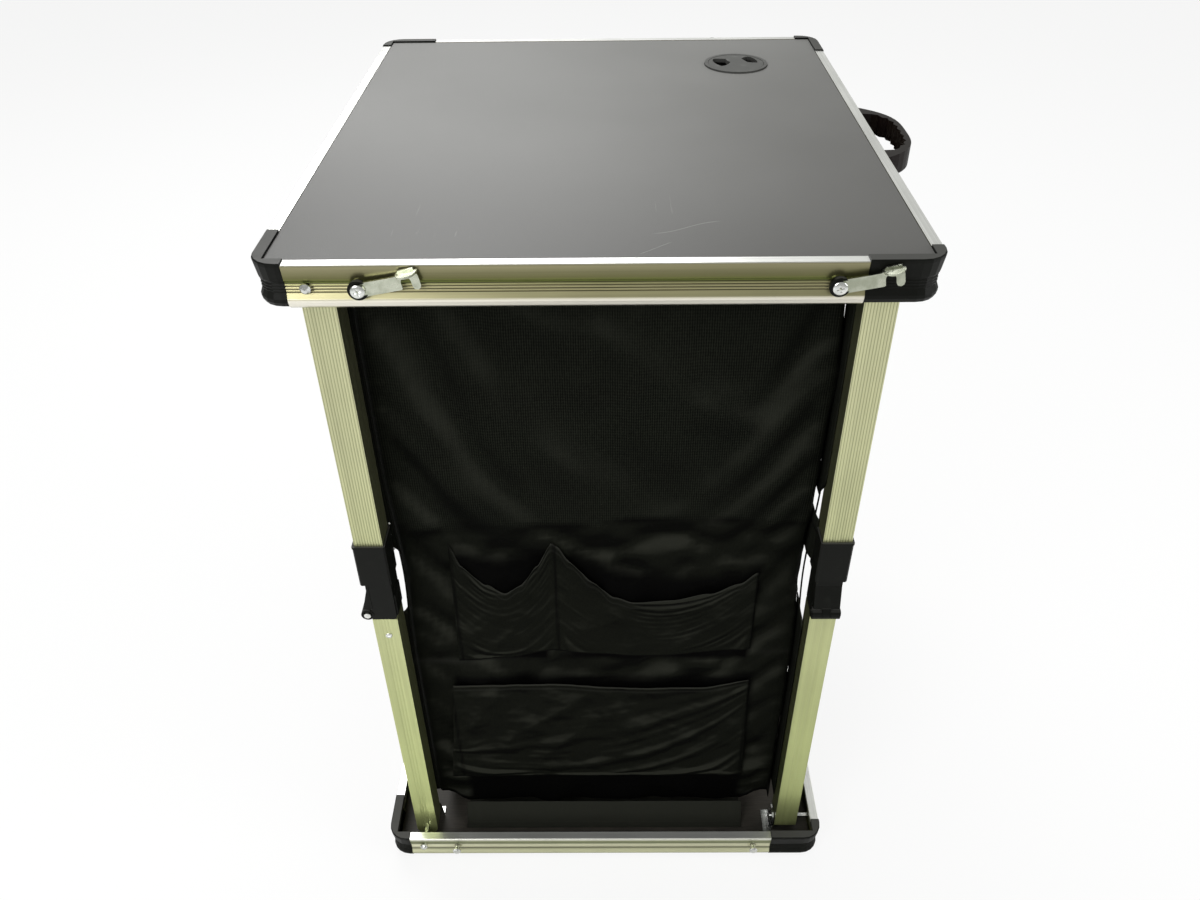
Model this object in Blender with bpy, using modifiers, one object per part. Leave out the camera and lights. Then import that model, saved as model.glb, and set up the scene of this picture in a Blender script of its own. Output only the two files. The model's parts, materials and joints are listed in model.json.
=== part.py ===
"""Folding camp kitchen cupboard.

A table-top tray and a bottom tray of aluminium rails with moulded corners are
joined by four two-piece legs with knee hinges.  A cloth cupboard hangs between
the legs.  All sizes are in millimetres and are scaled to metres when built.
"""
import math

import bmesh
import bpy
from mathutils import Matrix, Vector

MM = 0.001

# Overall size
WIDTH = 520.0
DEPTH = 600.0
RAIL_TOP = 800.0
BASE_RAIL_TOP = 41.0
CENTRE_X = -17.65
FIT = 0.3

# Rails and corners
SHORT_LEG = 25.0
LONG_LEG = 60.0
CORNER_RADIUS = 21.0
CORNER_MITRE = 9.0
CORNER_PROUD = 0.6
CORNER_RAISE = 1.5
CORNER_STEPS = 5
TOP_CORNER_BASE = 36.2
LOW_CORNER_BASE = 39.0
FOOT_RADIUS = 9.0
FOOT_INSET = 16.5
GROOVES = 4
GROOVE_TOP = 16.2
GROOVE_PITCH = 2.5
GROOVE_DEPTH = 0.5

# Boards
BOARD_EDGE = 2.4
BOARD_REBATE = 798.3
BOARD_INSET = 9.8
BOARD_TOP = 799.6
BOARD_BASE = 795.6
FLOOR_EDGE = 7.4
FLOOR_TOP = 8.9
FLOOR_THICK = 4.0

# Legs, in the frame of one corner: x along the fold, y inwards, z up
PIVOT_ALONG = 41.0
TOP_PIVOT = 781.0
BASE_PIVOT = 26.0
KNEE_HEIGHT = 403.5
KNEE_OUT = 15.5
PARTING = 446.0
UPPER_OUTER, UPPER_INNER = -14.0, 13.0
LOWER_OUTER, LOWER_INNER = -11.75, 13.25
LEG_NEAR = 24.5
UPPER_FAR = 52.0
LOWER_NEAR = 25.0
LOWER_FAR = 51.5
TUBE_WALL = 1.5
FLUTE_DEPTH = 0.4
SLEEVE_TOP = 497.0
SLEEVE_WALL_OUT = 2.2
SLEEVE_WALL = 1.6
SLEEVE_FLOOR = 2.5
BARREL = 6.5
PIN = 3.0
PIN_HOLE = 3.6

# Latches
LATCHES_ALONG = (81.0, 439.0)
STUD_HEIGHT = 23.2
HOOK_TILT = math.radians(11.1)

# Cable outlet, handle
OUTLET_X, OUTLET_Y = 153.0, 191.5
HANDLE_FRONT, HANDLE_REAR = -76.0, 70.0
HANDLE_REACH = 38.8
HANDLE_HEIGHT = 20.0
HANDLE_ARCH = 3.3
HANDLE_TEETH = 8

# Cloth
CLOTH_X = 205.4
CLOTH_Y = 243.0
CLOTH_EDGE = 5.0
CLOTH_TOP = 792.5
CLOTH_HEM = 40.0
CLOTH_NOTCH = 22.0
SHELF_HEIGHTS = (262.0, 490.0)


def new_material(name, colour, roughness, metallic=0.0):
    look = bpy.data.materials.new(name)
    look.use_nodes = True
    shader = look.node_tree.nodes["Principled BSDF"]
    shader.inputs["Base Color"].default_value = (*colour, 1.0)
    shader.inputs["Roughness"].default_value = roughness
    shader.inputs["Metallic"].default_value = metallic
    look.diffuse_color = (*colour, 1.0)
    return look


def evaluated_mesh(obj):
    graph = bpy.context.evaluated_depsgraph_get()
    return bpy.data.meshes.new_from_object(obj.evaluated_get(graph))


def cleaned(mesh):
    """Weld loose seams and point every face outwards."""
    work = bmesh.new()
    work.from_mesh(mesh)
    bmesh.ops.remove_doubles(work, verts=work.verts, dist=0.000005)
    bmesh.ops.dissolve_degenerate(work, edges=work.edges, dist=0.000005)
    bmesh.ops.recalc_face_normals(work, faces=work.faces)
    work.to_mesh(mesh)
    work.free()
    return mesh


def outline_mesh(loops, thick):
    """A flat outline, with holes, given a thickness along its local z."""
    curve = bpy.data.curves.new("outline", "CURVE")
    curve.dimensions = "2D"
    curve.fill_mode = "BOTH"
    curve.extrude = thick * MM / 2
    for loop in loops:
        spline = curve.splines.new("POLY")
        spline.points.add(len(loop) - 1)
        for point, (x, y) in zip(spline.points, loop):
            point.co = (x * MM, y * MM, 0.0, 1.0)
        spline.use_cyclic_u = True
    holder = bpy.data.objects.new("outline", curve)
    bpy.context.scene.collection.objects.link(holder)
    bpy.context.view_layer.update()
    mesh = cleaned(evaluated_mesh(holder))
    bpy.data.objects.remove(holder)
    return mesh


def axes(x_axis, y_axis, z_axis, place):
    """A placing matrix from three unit directions and a point in millimetres."""
    frame = Matrix.Identity(4)
    for column, direction in enumerate((x_axis, y_axis, z_axis)):
        for row in range(3):
            frame[row][column] = direction[row]
    for row in range(3):
        frame[row][3] = place[row] * MM
    return frame


def along_x(loops, start, end):
    """Outline in the y-z plane, drawn from start to end along x."""
    mesh = outline_mesh(loops, end - start)
    mesh.transform(axes((0, 1, 0), (0, 0, 1), (1, 0, 0), ((start + end) / 2, 0, 0)))
    return mesh


def along_y(loops, start, end):
    """Outline in the x-z plane, drawn from start to end along y."""
    mesh = outline_mesh([[(-x, z) for x, z in loop] for loop in loops], end - start)
    mesh.transform(axes((-1, 0, 0), (0, 0, 1), (0, 1, 0), (0, (start + end) / 2, 0)))
    return mesh


def along_z(loops, start, end):
    """Outline in the x-y plane, drawn from start to end along z."""
    mesh = outline_mesh(loops, end - start)
    mesh.transform(Matrix.Translation((0, 0, (start + end) / 2 * MM)))
    return mesh


def scratch_object(mesh):
    obj = bpy.data.objects.new("tool", mesh)
    bpy.context.scene.collection.objects.link(obj)
    return obj


def combined(mesh, tools, operation):
    """Join, cut or intersect a mesh with others, one after the other."""
    for tool in tools:
        body, cutter = scratch_object(mesh), scratch_object(tool)
        change = body.modifiers.new("change", "BOOLEAN")
        change.operation = operation
        change.solver = "EXACT"
        change.object = cutter
        bpy.context.view_layer.update()
        mesh = cleaned(evaluated_mesh(body))
        bpy.data.objects.remove(body)
        bpy.data.objects.remove(cutter)
    return mesh


def circle(x, y, radius, steps, start=0.0, sweep=2 * math.pi):
    full = abs(sweep) >= 2 * math.pi - 0.001
    count = steps if full else steps + 1
    angles = [start + sweep * step / steps for step in range(count)]
    return [(x + radius * math.cos(a), y + radius * math.sin(a)) for a in angles]


def rounded_box(x0, y0, x1, y1, radius, steps=4):
    centres = ((x1, y1, -1, -1), (x0, y1, 1, -1), (x0, y0, 1, 1), (x1, y0, -1, 1))
    points = []
    for turn, (x, y, sx, sy) in enumerate(centres):
        points += circle(x + sx * radius, y + sy * radius, radius, steps,
                         turn * math.pi / 2, math.pi / 2)
    return points


def box_loop(x0, y0, x1, y1):
    return [(x0, y0), (x1, y0), (x1, y1), (x0, y1)]


def place(name, mesh, look, frame=None, origin=(0, 0, 0), smooth=None):
    """One named part; its origin is given in the frame the mesh was drawn in."""
    frame = frame or Matrix.Identity(4)
    offset = Matrix.Translation(Vector(origin) * MM)
    if not mesh.get("placed"):
        mesh.transform(offset.inverted())
        mesh["placed"] = True
        mesh.materials.clear()
        mesh.materials.append(look)
        if smooth:
            mesh.shade_smooth()
            mesh.set_sharp_from_angle(angle=math.radians(smooth))
    mesh.name = name
    obj = bpy.data.objects.new(name, mesh)
    PARTS.objects.link(obj)
    obj.parent = ROOT
    obj.matrix_local = frame @ offset
    return obj


def corner_frames():
    """One frame for each corner, in turn: front left, front right, back right, back left."""
    half_x, half_y = WIDTH / 2, DEPTH / 2
    spots = ((-half_x, -half_y), (half_x, -half_y), (half_x, half_y), (-half_x, half_y))
    names = ("fl", "fr", "br", "bl")
    for turn, (name, (x, y)) in enumerate(zip(names, spots)):
        spin = Matrix.Rotation(turn * math.pi / 2, 4, "Z")
        side = WIDTH if turn % 2 == 0 else DEPTH
        yield name, Matrix.Translation((x * MM, y * MM, 0)) @ spin, side


# Rails and moulded corners

def groove_points(inset):
    """A row of V grooves down the middle of the profile."""
    points = [(inset, GROOVE_TOP - GROOVE_PITCH / 2)]
    for number in range(GROOVES):
        middle = GROOVE_TOP + number * GROOVE_PITCH
        points += [(inset + GROOVE_DEPTH, middle), (inset, middle + GROOVE_PITCH / 2)]
    return points


def rail_section():
    """Inset from the outer plane and depth below the top, round the section."""
    outside = [(9.4, 0), (0.6, 0), (0, 0.6), (0, 1.5), (1.8, 13.5)]
    outside += groove_points(2.8)
    outside += [(1.2, 28.8), (1.2, 31.5), (3, 35.5), (6, 38)]
    inside = [(13, 38), (13, 36.4), (6.8, 36.4), (4.8, 33.6), (4.8, 13.5), (3.4, 6.1),
              (9.4, 6.1), (9.4, 4.7), (2.0, 4.7), (2.0, 1.4), (9.4, 1.4)]
    return outside + inside


def corner_section(base):
    """The rail's section, a little proud, closed along its foot."""
    shift = CORNER_PROUD
    outside = [(9.4, -CORNER_RAISE), (1 - shift, -CORNER_RAISE), (-shift, -0.5), (-shift, 1.5),
               (1.8 - shift, 13.5)]
    outside += groove_points(2.8 - shift)
    outside += [(1.2 - shift, 28.8), (1.2 - shift, 31.5), (3 - shift, 35)]
    lip = base - 1.4 if base < 38 else base - 2.3
    outside += [(4.6, base), (13, base), (13, lip), (6.6, lip), (4.8, 33.0), (4.8, 13.5),
                (3.2, 6.1), (9.4, 6.1), (9.4, 4.7), (2.0, 4.7), (2.0, 1.4), (9.4, 1.4)]
    return outside


def rail_mesh(side, top, holes):
    section = [(inset, top - depth) for inset, depth in rail_section()]
    mesh = along_x([section], SHORT_LEG + FIT, side - LONG_LEG - FIT)
    cutters = [along_y([circle(x, z, PIN_HOLE, 8)], -2, 8) for x, z in holes]
    return combined(mesh, cutters, "DIFFERENCE")


def corner_station(step, inset, depth, top):
    """Where a section point lies at a step of the walk round the corner."""
    if step == 0:
        return SHORT_LEG, inset, top - depth
    if step == CORNER_STEPS + 2:
        return inset, LONG_LEG, top - depth
    if inset >= CORNER_MITRE:
        return inset, inset, top - depth
    angle = (step - 1) / CORNER_STEPS * math.pi / 2
    reach = CORNER_RADIUS - inset
    return (CORNER_RADIUS - reach * math.sin(angle),
            CORNER_RADIUS - reach * math.cos(angle), top - depth)


def corner_mesh(base, top):
    """The section is extruded along the short leg, round the bend and up the long leg."""
    section = corner_section(base)
    work = bmesh.new()
    slot = work.verts.layers.int.new("slot")
    for number, point in enumerate(section):
        vert = work.verts.new(Vector(corner_station(0, *point, top)) * MM)
        vert[slot] = number
    face = work.faces.new(work.verts)
    for step in range(1, CORNER_STEPS + 3):
        before = face
        grown = bmesh.ops.extrude_face_region(work, geom=[before])
        face = [item for item in grown["geom"] if isinstance(item, bmesh.types.BMFace)][0]
        if step > 1 and before.is_valid:
            work.faces.remove(before)
        for vert in face.verts:
            vert.co = Vector(corner_station(step, *section[vert[slot]], top)) * MM
    mesh = bpy.data.meshes.new("corner")
    work.to_mesh(mesh)
    work.free()
    return cleaned(mesh)


def foot_mesh():
    """A round foot under each bottom corner, tied into the corner's lip."""
    profile = [(0, 3.6), (FOOT_RADIUS, 3.6), (FOOT_RADIUS, 1.2), (FOOT_RADIUS - 1.2, 0), (0, 0)]
    foot = turned(profile, 14)
    foot.transform(Matrix.Translation((FOOT_INSET * MM, FOOT_INSET * MM, 0)))
    return foot


def turned(profile, steps):
    """A profile of radius and height, from top to bottom, turned about z."""
    mesh = bpy.data.meshes.new("profile")
    points = [(radius * MM, 0, height * MM) for radius, height in profile]
    mesh.from_pydata(points, [(n, n + 1) for n in range(len(points) - 1)], [])
    obj = scratch_object(mesh)
    spin = obj.modifiers.new("spin", "SCREW")
    spin.steps = steps
    spin.render_steps = steps
    spin.use_merge_vertices = True
    spin.merge_threshold = 0.000005
    bpy.context.view_layer.update()
    result = cleaned(evaluated_mesh(obj))
    bpy.data.objects.remove(obj)
    return result


def make_trays():
    top_corner = corner_mesh(TOP_CORNER_BASE, RAIL_TOP)
    low_corner = combined(corner_mesh(LOW_CORNER_BASE, BASE_RAIL_TOP), [foot_mesh()], "UNION")
    rails = {}
    for name, frame, side in corner_frames():
        if side not in rails:
            latched = side == WIDTH
            top_holes = [(PIVOT_ALONG, TOP_PIVOT)]
            low_holes = [(PIVOT_ALONG, BASE_PIVOT)]
            if latched:
                top_holes += [(x, TOP_PIVOT) for x in LATCHES_ALONG]
                low_holes += [(x, STUD_HEIGHT) for x in LATCHES_ALONG]
            rails[side] = (rail_mesh(side, RAIL_TOP, top_holes),
                           rail_mesh(side, BASE_RAIL_TOP, low_holes))
        side_name = {"fl": "front", "fr": "right", "br": "back", "bl": "left"}[name]
        place(f"top_rail_{side_name}", rails[side][0], ALUMINIUM, frame)
        place(f"bottom_rail_{side_name}", rails[side][1], ALUMINIUM, frame)
        place(f"top_corner_{name}", top_corner, PLASTIC, frame, smooth=25)
        place(f"bottom_corner_{name}", low_corner, PLASTIC, frame, smooth=25)


def board_mesh(edge, low, high, radius, holes=()):
    half_x, half_y = WIDTH / 2 - edge, DEPTH / 2 - edge
    outline = rounded_box(-half_x, -half_y, half_x, half_y, radius)
    return along_z([outline, *holes], low, high)


def make_boards():
    """The table board has a rebated edge, under the rails' flange, and a seat for the outlet."""
    hole, seat = (circle(OUTLET_X, OUTLET_Y, radius, 28) for radius in (33.5, 35.6))
    table = combined(board_mesh(BOARD_EDGE, BOARD_BASE, BOARD_REBATE,
                                CORNER_RADIUS - BOARD_EDGE + FIT, [hole]),
                     [board_mesh(BOARD_INSET, BOARD_BASE + 1, BOARD_TOP, 0.8, [seat])], "UNION")
    floor = board_mesh(FLOOR_EDGE, FLOOR_TOP - FLOOR_THICK, FLOOR_TOP,
                       CORNER_RADIUS - FLOOR_EDGE + FIT)
    place("table_board", table, LAMINATE)
    place("floor_board", floor, BROWN_BOARD)


# Legs

def flutes(start, end, level, bands, inwards, horizontal):
    """Points along one side of a tube: bands of V flutes, each as (from, to, count)."""
    points = []
    for low, high, count in bands:
        for number in range(2 * count + 1):
            share = low + (high - low) * number / (2 * count)
            along = start + (end - start) * share
            across = level + inwards * (FLUTE_DEPTH if number % 2 else 0)
            points.append((along, across) if horizontal else (across, along))
    return points


def tube_section(x0, x1, y0, y1, near, outer, inner):
    """A fluted tube's outline, round from its near side."""
    loop = [(x0, y0), *flutes(x0, x1, y0, near, 1, True), (x1, y0)]
    loop += [*flutes(y0, y1, x1, inner, -1, False), (x1, y1), (x0, y1)]
    return loop + flutes(y1, y0, x0, outer, 1, False)


def leg_tube(section, bore, low, high, round_at, round_x, radius):
    """A tube whose pivot end is cut round and bored for its pin."""
    mesh = along_z([section, bore], low, high)
    upwards = round_at > (low + high) / 2
    far = round_at + 40 if upwards else round_at - 40
    start = math.pi if upwards else -math.pi
    arc = circle(round_x, round_at, radius, 10, start, -start)
    waste = [(-30, round_at), *arc, (30, round_at), (30, far), (-30, far)]
    mesh = combined(mesh, [along_y([waste], 20, 60)], "DIFFERENCE")
    hole = along_y([circle(0, round_at, PIN_HOLE, 8)], 20, 60)
    return combined(mesh, [hole], "DIFFERENCE")


def upper_tube():
    section = tube_section(UPPER_OUTER, UPPER_INNER, LEG_NEAR, UPPER_FAR,
                           [(0.08, 0.92, 9)], [(0.08, 0.4, 3), (0.6, 0.92, 3)],
                           [(0.15, 0.4, 1), (0.6, 0.85, 1)])
    bore = box_loop(UPPER_OUTER + TUBE_WALL, LEG_NEAR + TUBE_WALL,
                    UPPER_INNER - TUBE_WALL, UPPER_FAR - TUBE_WALL)
    return leg_tube(section, bore, PARTING + SLEEVE_FLOOR + 2 * FIT, TOP_PIVOT + 30,
                    TOP_PIVOT, -0.5, 13.6)


def lower_tube():
    section = tube_section(LOWER_OUTER, LOWER_INNER, LOWER_NEAR, LOWER_FAR,
                           [(0.3, 0.7, 3)], [(0.3, 0.7, 2)], [(0.15, 0.4, 1), (0.6, 0.85, 1)])
    bore = box_loop(LOWER_OUTER + TUBE_WALL, LOWER_NEAR + TUBE_WALL,
                    LOWER_INNER - TUBE_WALL, LOWER_FAR - TUBE_WALL)
    return leg_tube(section, bore, 0, 397.0 - FIT, BASE_PIVOT, 0.75, 12.7)


def knuckle_spans():
    third = (LOWER_FAR - LOWER_NEAR) / 3
    return LOWER_NEAR + third, LOWER_FAR - third


def knee_sleeve():
    """A sleeve on the upper tube; its tongue runs down outside to the middle knuckle."""
    outer = rounded_box(UPPER_OUTER - SLEEVE_WALL_OUT, LEG_NEAR - 1.8,
                        UPPER_INNER + SLEEVE_WALL, UPPER_FAR + 1.8, 1.6, 1)
    rim = rounded_box(UPPER_OUTER - SLEEVE_WALL_OUT - 0.5, LEG_NEAR - 2.3,
                      UPPER_INNER + SLEEVE_WALL + 0.2, UPPER_FAR + 1.9, 1.6, 1)
    pocket = box_loop(UPPER_OUTER - FIT, LEG_NEAR - FIT, UPPER_INNER + FIT, UPPER_FAR + FIT)
    sleeve = along_z([outer], PARTING + FIT, SLEEVE_TOP - 2.5)
    band = along_z([rim], SLEEVE_TOP - 3.0, SLEEVE_TOP)
    tongue = along_y([[(-9.6, PARTING + 1.5), (-12.2, PARTING + 1.5), (-12.2, 437.0),
                       (-18.8, 411.5), (-9.6, 411.5)]], LOWER_NEAR + 0.2, LOWER_FAR - 0.2)
    low, high = knuckle_spans()
    web = along_y([[(-18.8, 412.5), (-18.8, 410.6), (-21.8, 405.0), (-11.0, 404.0), (-11.0, 412.5)]],
                  low + FIT, high - FIT)
    knuckle = along_y([circle(-KNEE_OUT, KNEE_HEIGHT, BARREL, 16)], low + FIT, high - FIT)
    mesh = combined(sleeve, [band, tongue, web, knuckle], "UNION")
    cutters = [along_z([pocket], PARTING + SLEEVE_FLOOR + FIT, SLEEVE_TOP + 5),
               along_y([circle(-KNEE_OUT, KNEE_HEIGHT, PIN + FIT, 8)], 10, 70)]
    return combined(mesh, cutters, "DIFFERENCE")


def knee_block():
    """A moulded plug on the lower tube, with the two outer knuckles and their pin."""
    low, high = knuckle_spans()
    face = [(LOWER_OUTER, 397.0), (LOWER_INNER - 3, 397.0), (LOWER_INNER, 400.0),
            (LOWER_INNER, PARTING), (-9.2, PARTING), (-9.2, 410.9), (LOWER_OUTER, 410.9)]
    body = along_y([face], LOWER_NEAR, LOWER_FAR)
    pad = along_y([[(LOWER_INNER - 1, 400.0), (LOWER_INNER + 1.6, 402.0),
                    (LOWER_INNER + 1.6, 428.0), (LOWER_INNER - 1, 431.0)]],
                  LOWER_NEAR + 2, LOWER_FAR - 2)
    inset = TUBE_WALL + FIT
    plug = along_z([box_loop(LOWER_OUTER + inset, LOWER_NEAR + inset,
                             LOWER_INNER - inset, LOWER_FAR - inset)], 374.0, 398.0)
    knuckles = [along_y([circle(-KNEE_OUT, KNEE_HEIGHT, BARREL, 16)], start, end)
                for start, end in ((LOWER_NEAR - 0.6, low), (high, LOWER_FAR + 0.6))]
    mesh = combined(body, [pad, plug, *knuckles], "UNION")
    slot = along_y([box_loop(-30, 390, -8.6, 412)], low, high)
    mesh = combined(mesh, [slot], "DIFFERENCE")
    pin = along_y([circle(-KNEE_OUT, KNEE_HEIGHT, PIN, 8)], low - 3, high + 3)
    heads = [along_y([circle(-KNEE_OUT, KNEE_HEIGHT, 4.2, 10)], start, end)
             for start, end in ((LOWER_NEAR - 1.6, LOWER_NEAR + 1), (LOWER_FAR - 1, LOWER_FAR + 1.6))]
    return combined(mesh, [pin, *heads], "UNION")


def pivot_bracket(height, board, upright):
    """A cheek beside the leg's end, its flange on the board, and the rivet through both."""
    side = 1 if upright else -1
    foot = board + side * FIT
    reach = circle(0.5, height, 14.5, 8, 0 if upright else math.pi, math.pi)
    cheek = along_y([[*reach, (-14.0, foot), (17.0, foot)] if upright
                     else [*reach, (17.0, foot), (-14.0, foot)]], UPPER_FAR + 0.8, UPPER_FAR + 2.8)
    low, high = sorted((foot, foot + side * 1.8))
    flange = along_z([box_loop(-13.9, UPPER_FAR + 1.0, 16.9, UPPER_FAR + 12)], low, high)
    rivet = turned([(0, 3.4), (2.6, 2.8), (4.4, 1.0), (4.6, 0), (PIN, 0), (PIN, -57.0),
                    (0, -57.0)], 10)
    rivet.transform(axes((1, 0, 0), (0, 0, 1), (0, -1, 0), (0, -0.1, height)))
    return combined(cheek, [flange, rivet], "UNION")


def make_legs():
    tubes = upper_tube(), lower_tube()
    sleeve, block = knee_sleeve(), knee_block()
    base = pivot_bracket(BASE_PIVOT, FLOOR_TOP, True)
    head = pivot_bracket(TOP_PIVOT, BOARD_BASE, False)
    knee = (-KNEE_OUT, 0, KNEE_HEIGHT)
    for name, frame, _ in corner_frames():
        frame = frame @ Matrix.Translation((PIVOT_ALONG * MM, 0, 0))
        place(f"upper_leg_{name}", tubes[0], ALUMINIUM, frame, knee)
        place(f"lower_leg_{name}", tubes[1], ALUMINIUM, frame, (0, 0, BASE_PIVOT))
        place(f"knee_sleeve_{name}", sleeve, PLASTIC, frame, knee, 35)
        place(f"knee_block_{name}", block, PLASTIC, frame, (0, 0, BASE_PIVOT), 35)
        place(f"base_pivot_{name}", base, STEEL, frame, smooth=35)
        place(f"top_pivot_{name}", head, STEEL, frame, smooth=35)


# Latches between the trays

def hook_outline():
    """The arm from its round pivot end to the notch and the finger, before the tilt."""
    arm = circle(0, 0, 6.0, 6, math.pi / 2 + 0.35, math.pi - 0.5)
    arm += [(20, -6.0), (32.4, -6.0), (33.4, -5.2)]
    arm += circle(37.3, -0.4, 3.9, 6, math.pi, -math.pi)
    arm += circle(44.4, -4.9, 3.2, 4, math.pi, math.pi)
    arm += [(47.6, 3.0), (45.5, 9.5), (34.0, 9.5), (31.0, 5.4), (24.0, 5.2)]
    return arm


def hook_mesh():
    plate = along_y([hook_outline()], -3.5, -1.5)
    lip = along_z([[(31.5, -2.0), (48.0, -2.0), *reversed(circle(39.8, -4.5, 8.2, 8,
                                                                math.pi, math.pi))]], 6.2, 7.8)
    spacer = along_y([circle(0, 0, 7.0, 14)], -1.9, 1.2)
    screw = turned([(0, 2.9), (4.6, 1.5), (5.5, 0), (5.5, -0.2), (2.5, -0.2), (2.5, -11.0),
                    (0, -11.0)], 12)
    screw.transform(axes((1, 0, 0), (0, 0, 1), (0, -1, 0), (0, -3.4, 0)))
    mesh = combined(plate, [lip, spacer, screw], "UNION")
    mesh.transform(Matrix.Rotation(-HOOK_TILT, 4, "Y"))
    return mesh


def stud_mesh():
    """A headed stud that the hook drops over."""
    stud = turned([(0, 2.6), (3.4, 2.3), (5.0, 0.9), (5.0, 0), (2.75, -0.4), (2.75, -11.5),
                   (0, -11.5)], 12)
    stud.transform(axes((1, 0, 0), (0, 0, 1), (0, -1, 0), (0, -4.0, 0)))
    return stud


def make_latches():
    hook, stud = hook_mesh(), stud_mesh()
    for name, frame, side in corner_frames():
        if side != WIDTH:
            continue
        where = {"fl": "front", "br": "back"}[name]
        for letter, along in zip("ab", LATCHES_ALONG):
            label = f"{where}_{letter}"
            high = frame @ Matrix.Translation((along * MM, 0, TOP_PIVOT * MM))
            low = frame @ Matrix.Translation((along * MM, 0, STUD_HEIGHT * MM))
            place(f"latch_hook_{label}", hook, STEEL, high, smooth=35)
            place(f"catch_stud_{label}", stud, STEEL, low, smooth=35)


# Cable outlet and handle

def make_outlet():
    """A flanged ring in the table top and a lift-out cap with two finger openings."""
    ring = combined(along_z([circle(0, 0, 35.2, 28), circle(0, 0, 31.4, 28)], -1.0, 1.7),
                    [along_z([circle(0, 0, 33.0, 28), circle(0, 0, 31.4, 28)], -12.0, 0.5)],
                    "UNION")
    tongue = [(-25.4, 8), (-24.6, 14), (-22.5, 17), (-10, 15.5), (-8.6, 8), (-5.6, 3),
              (-8.6, -4), (-12.4, -9.6), (-17.2, -11.8), (-21.2, -6), (-24, 1)]
    leaf = [(8, 16.5), (12, 21.5), (15.5, 23.8), (19.5, 21.5), (23, 14), (25, 6), (24.4, 0),
            (18, 0.6), (13.4, 2.4), (10.6, 9)]
    cap = along_z([circle(0, 0, 31.0, 28), tongue, leaf], -2.7, 1.5)
    spot = Matrix.Translation((OUTLET_X * MM, OUTLET_Y * MM, BOARD_TOP * MM))
    place("outlet_ring", ring, PLASTIC, spot, smooth=35)
    place("outlet_cap", cap, PLASTIC, spot, smooth=35)


def handle_outline():
    """Plan of the strap: an arch with teeth inside and a foot plate at each end."""
    middle, half = (HANDLE_FRONT + HANDLE_REAR) / 2, (HANDLE_REAR - HANDLE_FRONT) / 2
    steps = 22

    def arch(step, depth):
        share = -1 + 2 * step / steps
        rise = 1 - abs(share) ** HANDLE_ARCH
        narrow = 1 - 0.055 * depth * abs(share) ** 2
        return HANDLE_REACH * rise - depth * (0.2 + 0.8 * rise), middle + half * share * narrow

    outside = [arch(step, 0) for step in range(1, steps)]
    inside = []
    for step in range(steps - 2, 1, -1):
        toothed = abs(step - steps / 2) <= HANDLE_TEETH and step % 2 == 0
        inside.append(arch(step, 7.0 if toothed else 4.6))
    near, far = HANDLE_FRONT, HANDLE_REAR
    start = [(0.4, near + 22), (0.4, near - 12), (3.2, near - 12), (3.4, near + 2)]
    finish = [(3.4, far - 2), (3.2, far + 20), (0.4, far + 20), (0.4, far - 22)]
    return start + outside + finish + inside


def make_handle():
    low = TOP_PIVOT - HANDLE_HEIGHT / 2
    mesh = along_z([handle_outline()], low, low + HANDLE_HEIGHT)
    spot = Matrix.Translation((WIDTH / 2 * MM, 0, 0))
    place("carry_handle", mesh, PLASTIC, spot, smooth=40)


# Cloth cupboard

def bell(value, centre, spread):
    return math.exp(-((value - centre) / spread) ** 2)


def cloth_outline(count):
    """Points and outward directions round the cupboard at full width."""
    spots = []
    sides = (((1, 0), (0, -1), CLOTH_X, CLOTH_Y), ((0, 1), (1, 0), CLOTH_Y, CLOTH_X),
             ((-1, 0), (0, 1), CLOTH_X, CLOTH_Y), ((0, -1), (-1, 0), CLOTH_Y, CLOTH_X))
    for run, out, half, reach in sides:
        for step in range(count):
            along = (-1 + 2 * step / (count - 1)) * (half - CLOTH_EDGE)
            spots.append((run[0] * along + out[0] * reach, run[1] * along + out[1] * reach,
                          out, along, half))
    return spots


def cloth_fold(along, height, out):
    """Soft slanting folds above the seam, nearly flat cloth below it."""
    turn = 1.0 if out[1] < 0 or out[0] > 0 else -1.0
    slant = math.sin((height * 0.8 + turn * along * 0.9) / 34.0)
    ripple = math.sin((height * 0.5 - turn * along * 1.3) / 21.0)
    upper = 1 / (1 + math.exp(-(height - 520) / 18.0))
    edge = 1 - (along / 200.0) ** 4 if abs(along) < 200 else 0
    top = min(1.0, (CLOTH_TOP - height) / 60)
    return (1.7 * slant + 0.9 * ripple - 0.6) * upper * max(edge, 0) * top


def cloth_walls():
    spots = cloth_outline(8)
    rows = 12
    work = bmesh.new()
    grid = []
    for row in range(rows + 1):
        ring = []
        for x, y, out, along, half in spots:
            near_corner = max(0.0, abs(along) - half + 40) / 28
            hem = CLOTH_HEM + CLOTH_NOTCH * min(1.0, near_corner)
            height = hem + (CLOTH_TOP - hem) * row / rows
            pinch = 0.022 * bell(height, 432, 75)
            tuck = 0.006 * min(1.0, max(0.0, (height - 700) / 55))
            swell = cloth_fold(along, height, out)
            x_new = x * (1 - pinch - tuck) + out[0] * swell
            y_new = y * (1 - pinch / 3 - tuck / 2) + out[1] * swell
            ring.append(work.verts.new(Vector((x_new, y_new, height)) * MM))
        grid.append(ring)
    count = len(spots)
    for low, high in zip(grid, grid[1:]):
        for n in range(count):
            m = (n + 1) % count
            work.faces.new((low[n], low[m], high[m], high[n]))
    return thickened(work, 1.0)


def thickened(work, thick):
    mesh = bpy.data.meshes.new("cloth")
    bmesh.ops.recalc_face_normals(work, faces=work.faces)
    work.to_mesh(mesh)
    work.free()
    obj = scratch_object(mesh)
    solid = obj.modifiers.new("thickness", "SOLIDIFY")
    solid.thickness = thick * MM
    solid.offset = 0
    bpy.context.view_layer.update()
    result = cleaned(evaluated_mesh(obj))
    bpy.data.objects.remove(obj)
    return result


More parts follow.
